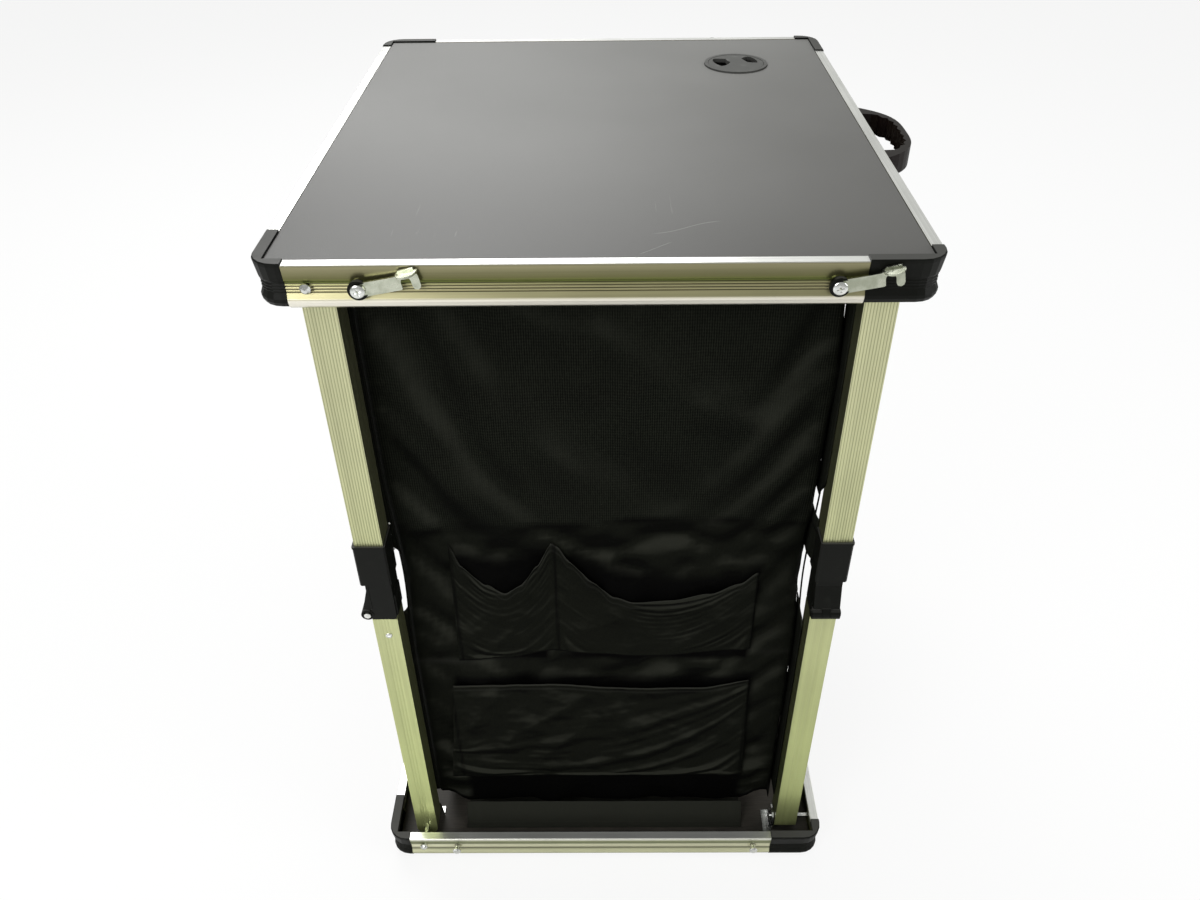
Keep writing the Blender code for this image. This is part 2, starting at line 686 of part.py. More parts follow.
def pocket_mesh(left, right, bottom, mouths, columns):
    """A cloth front standing a little off the cupboard, its mouth sagging."""
    rows = 5
    work = bmesh.new()
    grid = []
    for column in range(columns + 1):
        x = left + (right - left) * column / columns
        mouth = min(mouth_height(x, *spec) for spec in mouths)
        line = []
        for row in range(rows + 1):
            share = row / rows
            inner = math.sin(math.pi * column / columns) ** 0.5 if 0 < column < columns else 0
            out = CLOTH_Y + 1.4 + 2.6 * inner * (0.25 + 0.75 * share ** 0.6 if row else 0)
            z = bottom + (mouth - bottom) * share
            line.append(work.verts.new(Vector((x, -out, z)) * MM))
        grid.append(line)
    for near, far in zip(grid, grid[1:]):
        for low in range(rows):
            work.faces.new((near[low], far[low], far[low + 1], near[low + 1]))
    return thickened(work, 0.9)


def mouth_height(x, start, end, top, sag):
    """The height of a pocket's edge: held at both ends and slack between."""
    if x < start or x > end:
        return top
    share = (x - start) / (end - start)
    return top - sag * math.sin(math.pi * share) ** 0.7


def floor_cloth():
    """A cloth on the floor board, its front turned up under the hem."""
    path = [(235.0, 9.4), (-268.0, 9.4), (-268.0, 10.9), (-258.6, 10.9), (-244.6, 37.0),
            (-243.2, 36.3), (-256.8, 10.9), (235.0, 10.9)]
    return along_x([path], -172.0, 170.0)


def make_cloth():
    place("cloth_walls", cloth_walls(), CLOTH, smooth=60)
    upper = pocket_mesh(-151.5, 157.5, 300, ((-151.5, -48, 468, 48), (-45, 157.5, 468, 70)), 20)
    wide = pocket_mesh(-167.5, 160.5, 92, ((-167.5, 160.5, 279, 6),), 10)
    place("upper_pockets", upper, CLOTH, smooth=60)
    place("wide_pocket", wide, CLOTH, smooth=60)
    place("floor_cloth", floor_cloth(), GREY_CLOTH, smooth=20)
    outline = rounded_box(-186, -226, 186, 226, 10.0, 3)
    for label, height in zip(("low", "high"), SHELF_HEIGHTS):
        mesh = along_z([outline], height - 4, height)
        place(f"shelf_{label}", mesh, CLOTH)


def clear_scene():
    for obj in list(bpy.data.objects):
        bpy.data.objects.remove(obj)


clear_scene()
PARTS = bpy.data.collections.new("camp_kitchen_cupboard")
bpy.context.scene.collection.children.link(PARTS)
ROOT = bpy.data.objects.new("cupboard_origin", None)
PARTS.objects.link(ROOT)
ROOT.location = (CENTRE_X * MM, 0, 0)

ALUMINIUM = new_material("aluminium", (0.72, 0.72, 0.68), 0.35, 1.0)
PLASTIC = new_material("black_plastic", (0.02, 0.02, 0.02), 0.5)
LAMINATE = new_material("dark_laminate", (0.045, 0.045, 0.042), 0.45)
BROWN_BOARD = new_material("brown_board", (0.06, 0.05, 0.04), 0.6)
STEEL = new_material("plated_steel", (0.78, 0.78, 0.78), 0.22, 1.0)
CLOTH = new_material("black_cloth", (0.012, 0.012, 0.012), 0.9)
GREY_CLOTH = new_material("grey_cloth", (0.08, 0.08, 0.08), 0.9)

make_trays()
make_boards()
make_legs()
make_latches()
make_outlet()
make_handle()
make_cloth()
bpy.context.view_layer.update()
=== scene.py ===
# %% [markdown]
# A folding camp cupboard stands open on a pale floor.  Its solids come packed from the part file.
# This script gives every solid its finish and makes the cloth, the ties and the small metal parts
# that a plain solid can't show.  The imported box is kept first.

# %% Load the imported model
import json
import math
import bpy
from mathutils import Matrix, Vector, noise

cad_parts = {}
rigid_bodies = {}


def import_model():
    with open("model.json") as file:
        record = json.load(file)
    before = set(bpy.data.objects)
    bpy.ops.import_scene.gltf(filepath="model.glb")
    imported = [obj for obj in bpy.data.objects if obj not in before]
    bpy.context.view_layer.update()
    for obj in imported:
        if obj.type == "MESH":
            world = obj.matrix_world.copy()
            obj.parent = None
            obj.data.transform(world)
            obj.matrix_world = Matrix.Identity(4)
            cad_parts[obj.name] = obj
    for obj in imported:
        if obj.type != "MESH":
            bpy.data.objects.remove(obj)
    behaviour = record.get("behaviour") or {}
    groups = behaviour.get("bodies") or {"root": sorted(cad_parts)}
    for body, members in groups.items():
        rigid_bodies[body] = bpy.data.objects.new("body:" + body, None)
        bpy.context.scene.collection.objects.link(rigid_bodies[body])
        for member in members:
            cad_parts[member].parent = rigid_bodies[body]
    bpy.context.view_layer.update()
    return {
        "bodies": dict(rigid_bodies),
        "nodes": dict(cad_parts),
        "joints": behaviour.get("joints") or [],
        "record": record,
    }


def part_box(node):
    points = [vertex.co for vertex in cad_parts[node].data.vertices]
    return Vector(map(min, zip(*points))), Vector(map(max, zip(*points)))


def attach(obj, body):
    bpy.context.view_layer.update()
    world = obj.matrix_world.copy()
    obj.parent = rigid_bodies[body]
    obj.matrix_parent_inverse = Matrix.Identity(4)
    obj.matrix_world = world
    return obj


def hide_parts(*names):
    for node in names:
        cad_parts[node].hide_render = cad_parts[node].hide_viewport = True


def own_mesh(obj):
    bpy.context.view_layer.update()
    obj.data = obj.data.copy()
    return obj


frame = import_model()
scene = bpy.context.scene
MM = 0.001
MIDDLE = -17.65 * MM


# %% [markdown]
# The camera stands a little over a metre up, close in front of the pockets, and looks down at the
# table.  Its place, tilt and lens were fitted to the eight tray corners.  A small roll is easier to
# give as a turned pair of axes, so its matrix is built from the viewing direction.

# %% Camera
def camera_matrix(place, down_tilt, turn, roll):
    forward = Vector((math.sin(turn) * math.cos(down_tilt), math.cos(turn) * math.cos(down_tilt),
                      -math.sin(down_tilt)))
    right = Vector((math.cos(turn), -math.sin(turn), 0))
    down = forward.cross(right)
    right, down = (right * math.cos(roll) + down * math.sin(roll),
                   down * math.cos(roll) - right * math.sin(roll))
    matrix = Matrix((right, -down, -forward)).transposed().to_4x4()
    matrix.translation = place
    return matrix


SENSOR, FOCAL_PIXELS, PICTURE_PIXELS = 36, 986.94, 1200
CAMERA_PLACE = (-11.35 * MM, -958.33 * MM, 1130.44 * MM)
DOWN_TILT, TURN, ROLL = 0.6518, -0.0100, 0.0118
lens = bpy.data.cameras.new("photo_camera")
lens.sensor_width = SENSOR
lens.lens = FOCAL_PIXELS / PICTURE_PIXELS * SENSOR
lens.clip_start = 0.01
camera = bpy.data.objects.new("photo_camera", lens)
scene.collection.objects.link(camera)
camera.matrix_world = camera_matrix(CAMERA_PLACE, DOWN_TILT, TURN, ROLL)
scene.camera = camera
print("lens", round(lens.lens, 2), "mm")

# %% [markdown]
# A material is a small net of nodes, easier to read as plain Python sums.  One class wraps
# a node's output and turns + - * / into Math nodes.  A second class holds a material and adds any
# other node from its type, its settings and its sockets.

# %% A wrapped socket and a material builder
class Wire:
    def __init__(self, finish, socket):
        self.finish, self.socket = finish, socket

    def sum(self, operation, *values):
        return self.finish.node("Math", {"operation": operation}, dict(enumerate(values)))

    def __add__(self, other): return self.sum("ADD", self, other)
    def __sub__(self, other): return self.sum("SUBTRACT", self, other)
    def __mul__(self, other): return self.sum("MULTIPLY", self, other)
    def __truediv__(self, other): return self.sum("DIVIDE", self, other)
    def __rsub__(self, other): return self.sum("SUBTRACT", other, self)
    __radd__, __rmul__ = __add__, __mul__

    def size(self): return self.sum("ABSOLUTE", self)
    def wave(self): return self.sum("SINE", self)
    def fraction(self): return self.sum("FRACT", self)
    def largest(self, other): return self.sum("MAXIMUM", self, other)

    def step(self, low, high):
        """0 below low, 1 above high, smooth between."""
        settings = {"interpolation_type": "SMOOTHSTEP"}
        return self.finish.node("MapRange", settings, {0: self, 1: low, 2: high})


class Finish:
    def __init__(self, name, roughness, metallic=0.0, **fixed):
        self.material = bpy.data.materials.new(name)
        self.material.use_nodes = True
        self.tree = self.material.node_tree
        self.shader = self.tree.nodes["Principled BSDF"]
        self.shader.inputs["Roughness"].default_value = roughness
        self.shader.inputs["Metallic"].default_value = metallic
        for key, value in fixed.items():
            self.input(key).default_value = value

    def input(self, key):
        return self.shader.inputs[key.replace("_", " ").title().replace("Ior", "IOR")]

    def node(self, kind, settings=None, sockets=None, output=0):
        node = self.tree.nodes.new("ShaderNode" + kind)
        for key, value in (settings or {}).items():
            setattr(node, key, value)
        for key, value in (sockets or {}).items():
            if isinstance(value, Wire):
                self.tree.links.new(value.socket, node.inputs[key])
            else:
                node.inputs[key].default_value = value
        return Wire(self, node.outputs[output])

    def place(self, scale=(1, 1, 1), source="Object"):
        """Coordinates in metres, stretched by scale."""
        found = self.node("TexCoord", output=source)
        return self.node("Mapping", None, {"Vector": found, "Scale": scale})

    def here(self, axis):
        """Where a point is along x, y or z."""
        return self.node("SeparateXYZ", None, {"Vector": self.place()}, output=axis)

    def facing(self, axis):
        """How much a face looks along x, y or z."""
        normal = self.node("TexCoord", output="Normal")
        return self.node("SeparateXYZ", None, {"Vector": normal}, output=axis)

    def noise(self, scale, detail=3.0, where=None):
        where = where or self.place()
        return self.node("TexNoise", None, {"Vector": where, "Scale": scale, "Detail": detail})

    def ramp(self, share, stops):
        wire = self.node("ValToRGB", None, {"Fac": share})
        marks = wire.socket.node.color_ramp.elements
        while len(marks) < len(stops):
            marks.new(1.0)
        for number, (place, colour) in enumerate(stops):
            marks[number].position = place
            marks[number].color = (*colour, 1)
        return wire

    def mix(self, share, first, second, blend="MIX"):
        colours = [value if isinstance(value, Wire) else (*value, 1) for value in (first, second)]
        return self.node("Mix", {"data_type": "RGBA", "blend_type": blend},
                         {0: share, 6: colours[0], 7: colours[1]}, output=2)

    def bump(self, height, distance, strength=1.0):
        normal = self.node("Bump", None, {"Height": height, "Distance": distance, "Strength": strength})
        self.tree.links.new(normal.socket, self.shader.inputs["Normal"])

    def set(self, **wires):
        for key, wire in wires.items():
            self.tree.links.new(wire.socket, self.input(key))
        return self.material


print("shader helpers ready")

# %% [markdown]
# The rails and legs are extruded aluminium with a satin anodised skin.  Drawing through a die
# leaves fine straight lines along the length, so noise is stretched many times along that axis and
# drives a little colour, roughness and bump.  A soft cloudy stain keeps large faces from looking
# even.  Rails run along x or y and legs along z, so each finish is told its axis.  Bands of colour
# up the rails are painted reflections and highlights, their tops are painted lighter and their
# grooves darker, and the legs get painted shade in their flutes and on their inner sides.

# %% Aluminium finishes
def drawn_lines(finish, along):
    """Fine and broad die lines along one axis, and a cloudy stain."""
    stretch = [900.0 if axis != along else 6.0 for axis in range(3)]
    lines = finish.noise(1.0, 2.0, finish.place(stretch))
    broad = finish.noise(1.0, 1.0, finish.place([value / 5 for value in stretch]))
    return lines, broad, finish.noise(14.0, 4.0)


def drawn_skin(finish, drawn, colour, streaks, greys, roughness):
    """Darken and lighten a colour along the die lines and finish the material."""
    lines, broad, cloud = drawn
    (of_lines, of_broad, of_cloud), (low, high) = streaks
    streak = (lines * of_lines + broad * of_broad + cloud * of_cloud).step(low, high)
    shade = finish.mix(streak, *[(grey, grey, grey) for grey in greys])
    tinted = finish.mix(1.0, colour, shade, "MULTIPLY")
    finish.bump(lines + broad, 0.06 * MM, 0.5)
    return finish.set(base_color=tinted, roughness=roughness - 0.08 + lines * 0.06 + cloud * 0.1)


RAIL_HEIGHT, LOW_RAIL_FOOT, HIGH_RAIL_FOOT, BETWEEN_TRAYS = 38 * MM, 3 * MM, 762 * MM, 0.4
FIRST_GROOVE, GROOVE_PITCH = 20.55, 2.5
RIBS_MIDDLE, RIBS_REACH = 0.474, 0.128
GROOVE_PAINTED_SHADE = (0.05, 0.046, 0.022)


def extruded(name, along, high_reflections, low_reflections, top, roughness):
    """The profiles are stops of (share of the rail's height, colour) on the upright faces: painted
    reflections and highlights.  Faces that look up take the top colour, a painted highlight, and the rib
    grooves get painted shade.
    """
    finish = Finish(name, roughness, metallic=0.82)
    drawn = drawn_lines(finish, along)
    height = finish.here(2)
    high = height.sum("GREATER_THAN", height, BETWEEN_TRAYS)
    share = (height - (high * (HIGH_RAIL_FOOT - LOW_RAIL_FOOT) + LOW_RAIL_FOOT)) / RAIL_HEIGHT
    face = finish.mix(high, finish.ramp(share, low_reflections), finish.ramp(share, high_reflections))
    # Painted shade: the grooves between the ribs are darkened.
    groove = ((share * 38.0 - FIRST_GROOVE) / GROOVE_PITCH).fraction()
    ribbed = (share - RIBS_MIDDLE).size().step(RIBS_REACH, RIBS_REACH - 0.01) * high
    face = finish.mix((groove - 0.5).size().step(0.26, 0.12) * ribbed * 0.9, face, GROOVE_PAINTED_SHADE)
    # Faces that look up take the lighter top colour, a painted highlight.
    colour = finish.mix(finish.facing(2).step(0.55, 0.9), face, top)
    return drawn_skin(finish, drawn, colour, ((0.4, 0.35, 0.25), (0.25, 0.75)), (0.84, 1.1), roughness)


FLUTE_START, FLUTE_PITCH = 1 * MM, 2.52 * MM
UPPER_LEG_FOOT = 443 * MM


def flutes(place):
    """1 in thin upright lines a pitch apart, 0 between them."""
    turn = ((place - FLUTE_START) / FLUTE_PITCH).fraction()
    return (turn - 0.5).size().step(0.20, 0.08)


def fluted(name, low, high, roughness):
    """Leg tubes: one colour at the foot and one at the table, the greener foot a painted reflection of a
    green floor; painted shade in the flutes above the knee and on the inner sides.
    """
    finish = Finish(name, roughness, metallic=0.72)
    drawn = drawn_lines(finish, 2)
    height, reach = finish.here(2), [finish.here(0) - MIDDLE, finish.here(1)]
    # The olive is the anodised tint; its shift to green towards the foot is a painted reflection of a green
    # floor.
    colour = finish.mix(height.step(0.02, 0.78), low, high)
    turned = [finish.facing(0), finish.facing(1)]
    sideways = turned[0].size().step(0.4, 0.6)
    grooves = flutes(reach[0]) * (1 - sideways) + flutes(reach[1]) * sideways
    flute_painted_shade = grooves * height.step(UPPER_LEG_FOOT - 3 * MM, UPPER_LEG_FOOT + 3 * MM)
    # Painted shade in the flutes.
    colour = finish.mix(flute_painted_shade * 0.55, colour, (0.12, 0.125, 0.05))
    # Painted shade on the sides that face inwards, towards the cloth.
    inwards = [(turned[axis] * reach[axis].sum("SIGN", reach[axis])).step(-0.4, -0.7) for axis in (0, 1)]
    colour = finish.mix(inwards[0].largest(inwards[1]) * 0.8, colour, (0.035, 0.038, 0.016))
    return drawn_skin(finish, drawn, colour, ((0.3, 0.4, 0.3), (0.28, 0.72)), (0.86, 1.12), roughness)


# Painted reflections and highlights: stops of (share of the rail's height, colour), olive where a face
# reflects a green floor and light where it catches the lamps.
TABLE_RAIL_REFLECTIONS = ((0.0, (0.40, 0.38, 0.28)), (0.06, (0.80, 0.77, 0.68)), (0.20, (0.86, 0.82, 0.72)),
              (0.26, (0.45, 0.42, 0.24)), (0.52, (0.42, 0.39, 0.21)), (0.60, (0.125, 0.155, 0.030)),
              (0.70, (0.145, 0.14, 0.058)), (0.93, (0.27, 0.25, 0.145)))
TRAY_RAIL_REFLECTIONS = ((0.0, (0.10, 0.10, 0.06)), (0.10, (0.30, 0.32, 0.18)), (0.20, (0.70, 0.70, 0.47)),
             (0.32, (0.67, 0.67, 0.45)), (0.39, (0.06, 0.065, 0.030)), (0.46, (0.74, 0.73, 0.52)),
             (0.62, (0.76, 0.75, 0.55)), (0.70, (0.17, 0.19, 0.09)), (0.84, (0.27, 0.29, 0.14)),
             (0.93, (0.90, 0.90, 0.80)))
# The last colour is the painted highlight on the faces that look up.
RAIL_X = extruded("rail aluminium across", 0, TABLE_RAIL_REFLECTIONS, TRAY_RAIL_REFLECTIONS, (0.95, 0.95, 0.92), 0.30)
RAIL_Y = extruded("rail aluminium lengthwise", 1, TABLE_RAIL_REFLECTIONS, TRAY_RAIL_REFLECTIONS, (0.90, 0.90, 0.87), 0.30)
LEG_METAL = fluted("leg aluminium", (0.50, 0.55, 0.235), (0.60, 0.60, 0.37), 0.38)
print("aluminium finishes:", RAIL_X.name, RAIL_Y.name, LEG_METAL.name)

# %% [markdown]
# The corners, knees, outlet and handle are moulded black plastic.  A fine spark-eroded grain covers
# such mouldings, made here with two sizes of noise.  Scattered rubbed patches are a little lighter,
# and faces that look up are painted lighter, a painted highlight.

# %% Black plastic
def moulded(name, colour, roughness, grain=0.09 * MM, lit_top=0.0, shine=0.12):
    finish = Finish(name, roughness, specular_ior_level=shine)
    fine = finish.noise(1500.0, 2.0)
    coarse = finish.noise(420.0, 2.0)
    cloud = finish.noise(26.0, 4.0)
    scuff = finish.noise(90.0, 6.0).step(0.56, 0.72)
    finish.bump(fine * 0.6 + coarse * 0.4, grain, 0.6)
    light = [value * 1.6 + 0.002 for value in colour]
    shade = finish.mix((cloud * 0.5 + scuff * 0.35).step(0.1, 0.75), colour, light)
    # Faces that look up are painted lighter: a painted highlight.
    shade = finish.mix(finish.facing(2).step(0.75, 0.98) * lit_top, shade, (0.105, 0.104, 0.098))
    return finish.set(base_color=shade, roughness=roughness - 0.1 + cloud * 0.16 + scuff * 0.06)


PLASTIC = moulded("black moulded plastic", (0.0032, 0.0035, 0.0025), 0.48, lit_top=0.55)
SMOOTH_PLASTIC = moulded("smooth black plastic", (0.052, 0.052, 0.049), 0.34, 0.04 * MM, shine=0.4)
GRIP_PLASTIC = moulded("dark red-brown grip plastic", (0.0060, 0.0034, 0.0030), 0.4, lit_top=0.15,
                       shine=0.09)
print("plastic finishes:", PLASTIC.name, SMOOTH_PLASTIC.name, GRIP_PLASTIC.name)

# %% [markdown]
# The table is a thin board with a dark printed laminate.  Its skin has a very fine pebble, a soft
# sheen, a few long hair scratches and two creases near the front edge.  The scratches come from
# thin bright bands of stretched noise, masked so that only a few of them show, and the creases are
# painted lighter, a painted highlight.  The front is painted darker than the back, a painted
# shade, and a thin painted shadow runs round the rim.

# %% Table laminate and floor board
def crease(across, along, middle_x, middle_y, slope, reach):
    """A thin wavy line through a middle point, fading out at its reach on both sides."""
    distance = across - middle_x
    line = along - middle_y - distance * slope - (distance * 105.0).wave() * 0.0022
    return line.size().step(0.0011, 0.0003) * distance.size().step(reach, reach * 0.6)


CREASES = ((0.052, -0.238, 0.38, 0.030), (0.026, -0.274, 0.62, 0.014))
# Width of the thin painted shadow round the table's rim.
RIM_SHADOW = 1.6 * MM


def laminate():
    finish = Finish("dark laminate", 0.42, specular_ior_level=0.35)
    pebble = finish.node("TexVoronoi", {"feature": "F1"}, {"Vector": finish.place(), "Scale": 900.0})
    grain = finish.noise(1400.0, 2.0)
    cloud = finish.noise(5.0, 5.0)
    streaks = finish.noise(1.0, 1.0, finish.place((420.0, 22.0, 1.0)))
    rare = finish.noise(9.0, 2.0).step(0.58, 0.66)
    scratch = streaks.step(0.70, 0.74) * rare
    across, along = finish.here(0), finish.here(1)
    creases = crease(across, along, *CREASES[0]) + crease(across, along, *CREASES[1])
    finish.bump(pebble * 0.7 + grain * 0.3 - scratch * 0.5 + creases * 3.0, 0.12 * MM, 0.55)
    shade = finish.mix(cloud.step(0.3, 0.7), (0.140, 0.139, 0.133), (0.160, 0.159, 0.153))
    # Painted shade: the board is darkened towards its front corners, so that its reflection seems to lie
    # further back.
    front_right_painted_shade = (across * 1.1 - along * 0.75).step(-0.15, 0.55)
    front_left_painted_shade = (along * -1.0 - across * 0.5).step(0.06, 0.42)
    shade = finish.mix(front_right_painted_shade * 0.66, shade, (0.062, 0.060, 0.057))
    shade = finish.mix(front_left_painted_shade * 0.80, shade, (0.032, 0.031, 0.028))
    # Scratches and grain are lighter wear; the creases are painted lighter, a painted highlight.
    wear_and_crease_highlight = scratch * 0.25 + grain.step(0.62, 0.8) * 0.25 + creases * 0.7
    worn_and_highlit = finish.mix(wear_and_crease_highlight, shade, (0.22, 0.22, 0.21))
    # A thin painted shadow round the rim, in the gap where the board meets the rails.
    low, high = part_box("table_board")
    rim_shadow_distances = [(place - (low[axis] + high[axis]) / 2).size() - ((high[axis] - low[axis]) / 2 - RIM_SHADOW)
            for axis, place in ((0, across), (1, along))]
    rim_shadowed = finish.mix(rim_shadow_distances[0].largest(rim_shadow_distances[1]).step(0.0, 0.5 * MM) * 0.9, worn_and_highlit, (0.006, 0.006, 0.005))
    return finish.set(base_color=rim_shadowed, roughness=0.36 + cloud * 0.12 + grain * 0.06)


def plain_board():
    finish = Finish("brown board", 0.6)
    fibre = finish.noise(1.0, 4.0, finish.place((60.0, 900.0, 60.0)))
    cloud = finish.noise(18.0, 4.0)
    finish.bump(fibre, 0.1 * MM, 0.5)
    shade = finish.mix((fibre * 0.6 + cloud * 0.4).step(0.3, 0.7), (0.030, 0.026, 0.021),
                       (0.062, 0.054, 0.044))
    return finish.set(base_color=shade, roughness=0.5 + fibre * 0.2)


LAMINATE = laminate()
BROWN_BOARD = plain_board()
print("board finishes:", LAMINATE.name, BROWN_BOARD.name)

# %% [markdown]
# Rivets, hooks and screws are bright zinc plate: nearly a mirror, with tiny pits, faint polishing
# lines and a cloudy roughness where hands touched it.  The hooks' plate is duller and yellower.

# %% Bright plate
def plated(name, dark, light, roughness):
    finish = Finish(name, roughness, metallic=1.0)
    pits = finish.noise(2200.0, 2.0)
    lines = finish.noise(1.0, 2.0, finish.place((200.0, 200.0, 1800.0)))
    cloud = finish.noise(120.0, 4.0)
    finish.bump(pits * 0.5 + lines * 0.5, 0.04 * MM, 0.4)
    shade = finish.mix(cloud.step(0.35, 0.65), dark, light)
    return finish.set(base_color=shade, roughness=roughness + cloud * 0.14 + lines * 0.05)


PLATE = plated("bright zinc plate", (0.66, 0.67, 0.65), (0.82, 0.82, 0.80), 0.12)
HOOK_PLATE = plated("hook plate", (0.40, 0.42, 0.33), (0.56, 0.58, 0.48), 0.16)
print("plate finishes:", PLATE.name, HOOK_PLATE.name)

# %% [markdown]
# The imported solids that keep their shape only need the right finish.  Rails along the front and
# back run along x, and the side rails run along y.

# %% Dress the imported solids
def finish_for(node):
    if "rail" in node:
        return RAIL_X if node.endswith(("front", "back")) else RAIL_Y
    if node.startswith(("upper_leg", "lower_leg")):
        return LEG_METAL
    if node.startswith("latch_hook"):
        return HOOK_PLATE
    if node.startswith(("base_pivot", "top_pivot", "catch_stud")):
        return PLATE
    special = {"table_board": LAMINATE, "floor_board": BROWN_BOARD, "outlet_ring": SMOOTH_PLASTIC,
               "outlet_cap": SMOOTH_PLASTIC, "carry_handle": GRIP_PLASTIC}
    return special.get(node, PLASTIC)


def dress(piece, *finishes):
    piece.data.materials.clear()
    for finish in finishes:
        piece.data.materials.append(finish)


for node, solid in frame["nodes"].items():
    dress(solid, finish_for(node))
print("dressed", len(frame["nodes"]), "packed solids")

# %% [markdown]
# Cloth carries its weave in the plane of the cloth, so its materials read a UV map in metres that
# is laid down while the cloth is still flat.  Above the seam it is an open mesh with upright ribs,
# and below it a tight plain weave.  Faces that look up are painted lighter and faces that look down
# darker, a painted highlight and painted shade that show the folds.  The attribute trim marks stitch
# lines and a painted highlight along the pockets' mouths, and deep marks dark seam lines and painted
# shade inside the pockets and along their sewn folds.

# %% Cloth finishes
TURNS_PER_THREAD = 0.31831
# A painted highlight for faces that look up and painted shade for faces that look down; lint is real, and
# the darkest colour paints dark seams and the shade in pockets.
UPWARD_HIGHLIGHT, SHADE = (0.026, 0.027, 0.021), (0.0006, 0.0007, 0.0004)
LINT, SEAM_AND_POCKET_SHADE = (0.05, 0.05, 0.045), (0.0004, 0.0004, 0.0003)


def woven(name, dark, light, rib, pitch, depth, sheen=0.0):
    """rib: how much the upright threads show over the level ones, pitch: the threads' distances."""
    finish = Finish(name, 0.85, sheen_weight=sheen, sheen_roughness=0.4, specular_ior_level=0.045)
    across = finish.place((1 / pitch[0], 1 / pitch[1], 1.0), "UV")
    waves = [finish.node("TexWave", {"wave_type": "BANDS", "bands_direction": way},
                         {"Vector": across, "Scale": TURNS_PER_THREAD, "Distortion": 0.6,
                          "Detail": 1.0, "Detail Scale": 1.5}) for way in ("X", "Y")]
    thread = waves[0] * rib + waves[1] * (1 - rib)
    uneven = finish.noise(1.0, 3.0, finish.place((500.0, 160.0, 1.0), "UV"))
    cloud = finish.noise(1.0, 5.0, finish.place((16.0, 16.0, 1.0), "UV"))
    lint = finish.noise(1.0, 1.0, finish.place((900.0, 700.0, 1.0), "UV")).step(0.74, 0.8)
    trim, deep = [finish.node("Attribute", {"attribute_name": name}, output=2) for name in ("trim", "deep")]
    finish.bump(thread + uneven * 0.4, depth, 0.7)
    share = thread * 0.5 + uneven * 0.35 + cloud * 0.25
    shade = finish.mix(share.step(0.35, 0.8), dark, light)
    upward = finish.facing(2)
    # Painted highlight on faces that look up and painted shade on faces that look down, so the folds show.
    shade = finish.mix(upward.step(0.0, 0.20) * 0.75, shade, UPWARD_HIGHLIGHT)
    shade = finish.mix(upward.step(0.0, -0.18) * 0.85, shade, SHADE)
    shade = finish.mix(lint * 0.3 + trim * 0.45, shade, LINT)
    # deep: dark seam lines, and painted shade inside the pockets' mouths and along their sewn folds.
    shade = finish.mix(deep, shade, SEAM_AND_POCKET_SHADE)
    return finish.set(base_color=shade, roughness=0.74 + thread * 0.14 + cloud * 0.1)


MESH_CLOTH = woven("black mesh cloth", (0.0020, 0.0023, 0.0015), (0.0115, 0.0128, 0.0090), 0.7,
                   (2.1 * MM, 3.2 * MM), 0.45 * MM)
PLAIN_CLOTH = woven("black plain cloth", (0.0028, 0.0032, 0.0021), (0.0085, 0.0095, 0.0064), 0.5,
                    (0.6 * MM, 0.6 * MM), 0.20 * MM)
BINDING = woven("black binding tape", (0.002, 0.002, 0.0017), (0.006, 0.0065, 0.0052), 0.3,
                (1.2 * MM, 0.9 * MM), 0.20 * MM)
GREY_CLOTH = woven("grey lining cloth", (0.014, 0.0145, 0.012), (0.030, 0.031, 0.026), 0.5,
                   (0.7 * MM, 0.7 * MM), 0.20 * MM, sheen=0.05)
print("cloth finishes:", MESH_CLOTH.name, PLAIN_CLOTH.name, BINDING.name, GREY_CLOTH.name)

# %% [markdown]
# The cloth is cut flat, marked with its thread lines and then wrapped round the frame: a flat grid
# gets its UV map, every point is moved to its place round a rounded rectangle, and the two ends
# are sewn together by merging their doubles.

# %% Helpers for modelling
def only(obj):
    """Make obj the one selected and active object."""
    bpy.ops.object.select_all(action="DESELECT")
    obj.select_set(True)
    bpy.context.view_layer.objects.active = obj
    return obj


def begin(name, kind, **settings):
    """Add a primitive with nothing else selected, and name it."""
    bpy.ops.object.select_all(action="DESELECT")
    {"grid": bpy.ops.mesh.primitive_grid_add, "cube": bpy.ops.mesh.primitive_cube_add,
     "plane": bpy.ops.mesh.primitive_plane_add, "cylinder": bpy.ops.mesh.primitive_cylinder_add,
     "sphere": bpy.ops.mesh.primitive_uv_sphere_add}[kind](**settings)
    bpy.context.object.name = bpy.context.object.data.name = name
    return bpy.context.object


def smooth(piece, degrees):
    """Smooth shading, with a crease where faces meet at more than this angle."""
    only(piece)
    bpy.ops.object.shade_smooth_by_angle(angle=math.radians(degrees))


def joined(pieces, name):
    """Join pieces into the first one."""
    only(pieces[0])
    for piece in pieces:
        piece.select_set(True)
    bpy.ops.object.join()
    bpy.context.object.name = bpy.context.object.data.name = name
    return bpy.context.object


def lay_uv(piece):
    """A UV map in metres, from the piece's own x and y."""
    layer = piece.data.uv_layers.active or piece.data.uv_layers.new(name="cut")
    for loop in piece.data.loops:
        layer.data[loop.index].uv = piece.data.vertices[loop.vertex_index].co.xy


def flat_grid(name, width, height, columns, rows):
    """A flat cloth in the x-y plane with its lower left corner at 0, and a UV map in metres."""
    cloth = begin(name, "grid", x_subdivisions=columns, y_subdivisions=rows, size=1)
    cloth.data.transform(Matrix.Translation((0.5, 0.5, 0)))
    cloth.data.transform(Matrix.Diagonal((width, height, 1, 1)))
    lay_uv(cloth)
    return cloth


def apply(obj, kind, **settings):
    """Add a modifier, set it and apply it at once."""
    change = obj.modifiers.new(kind.lower(), kind)
    for key, value in settings.items():
        setattr(change, key, value)
    only(obj)
    bpy.ops.object.modifier_apply(modifier=change.name)
    return obj


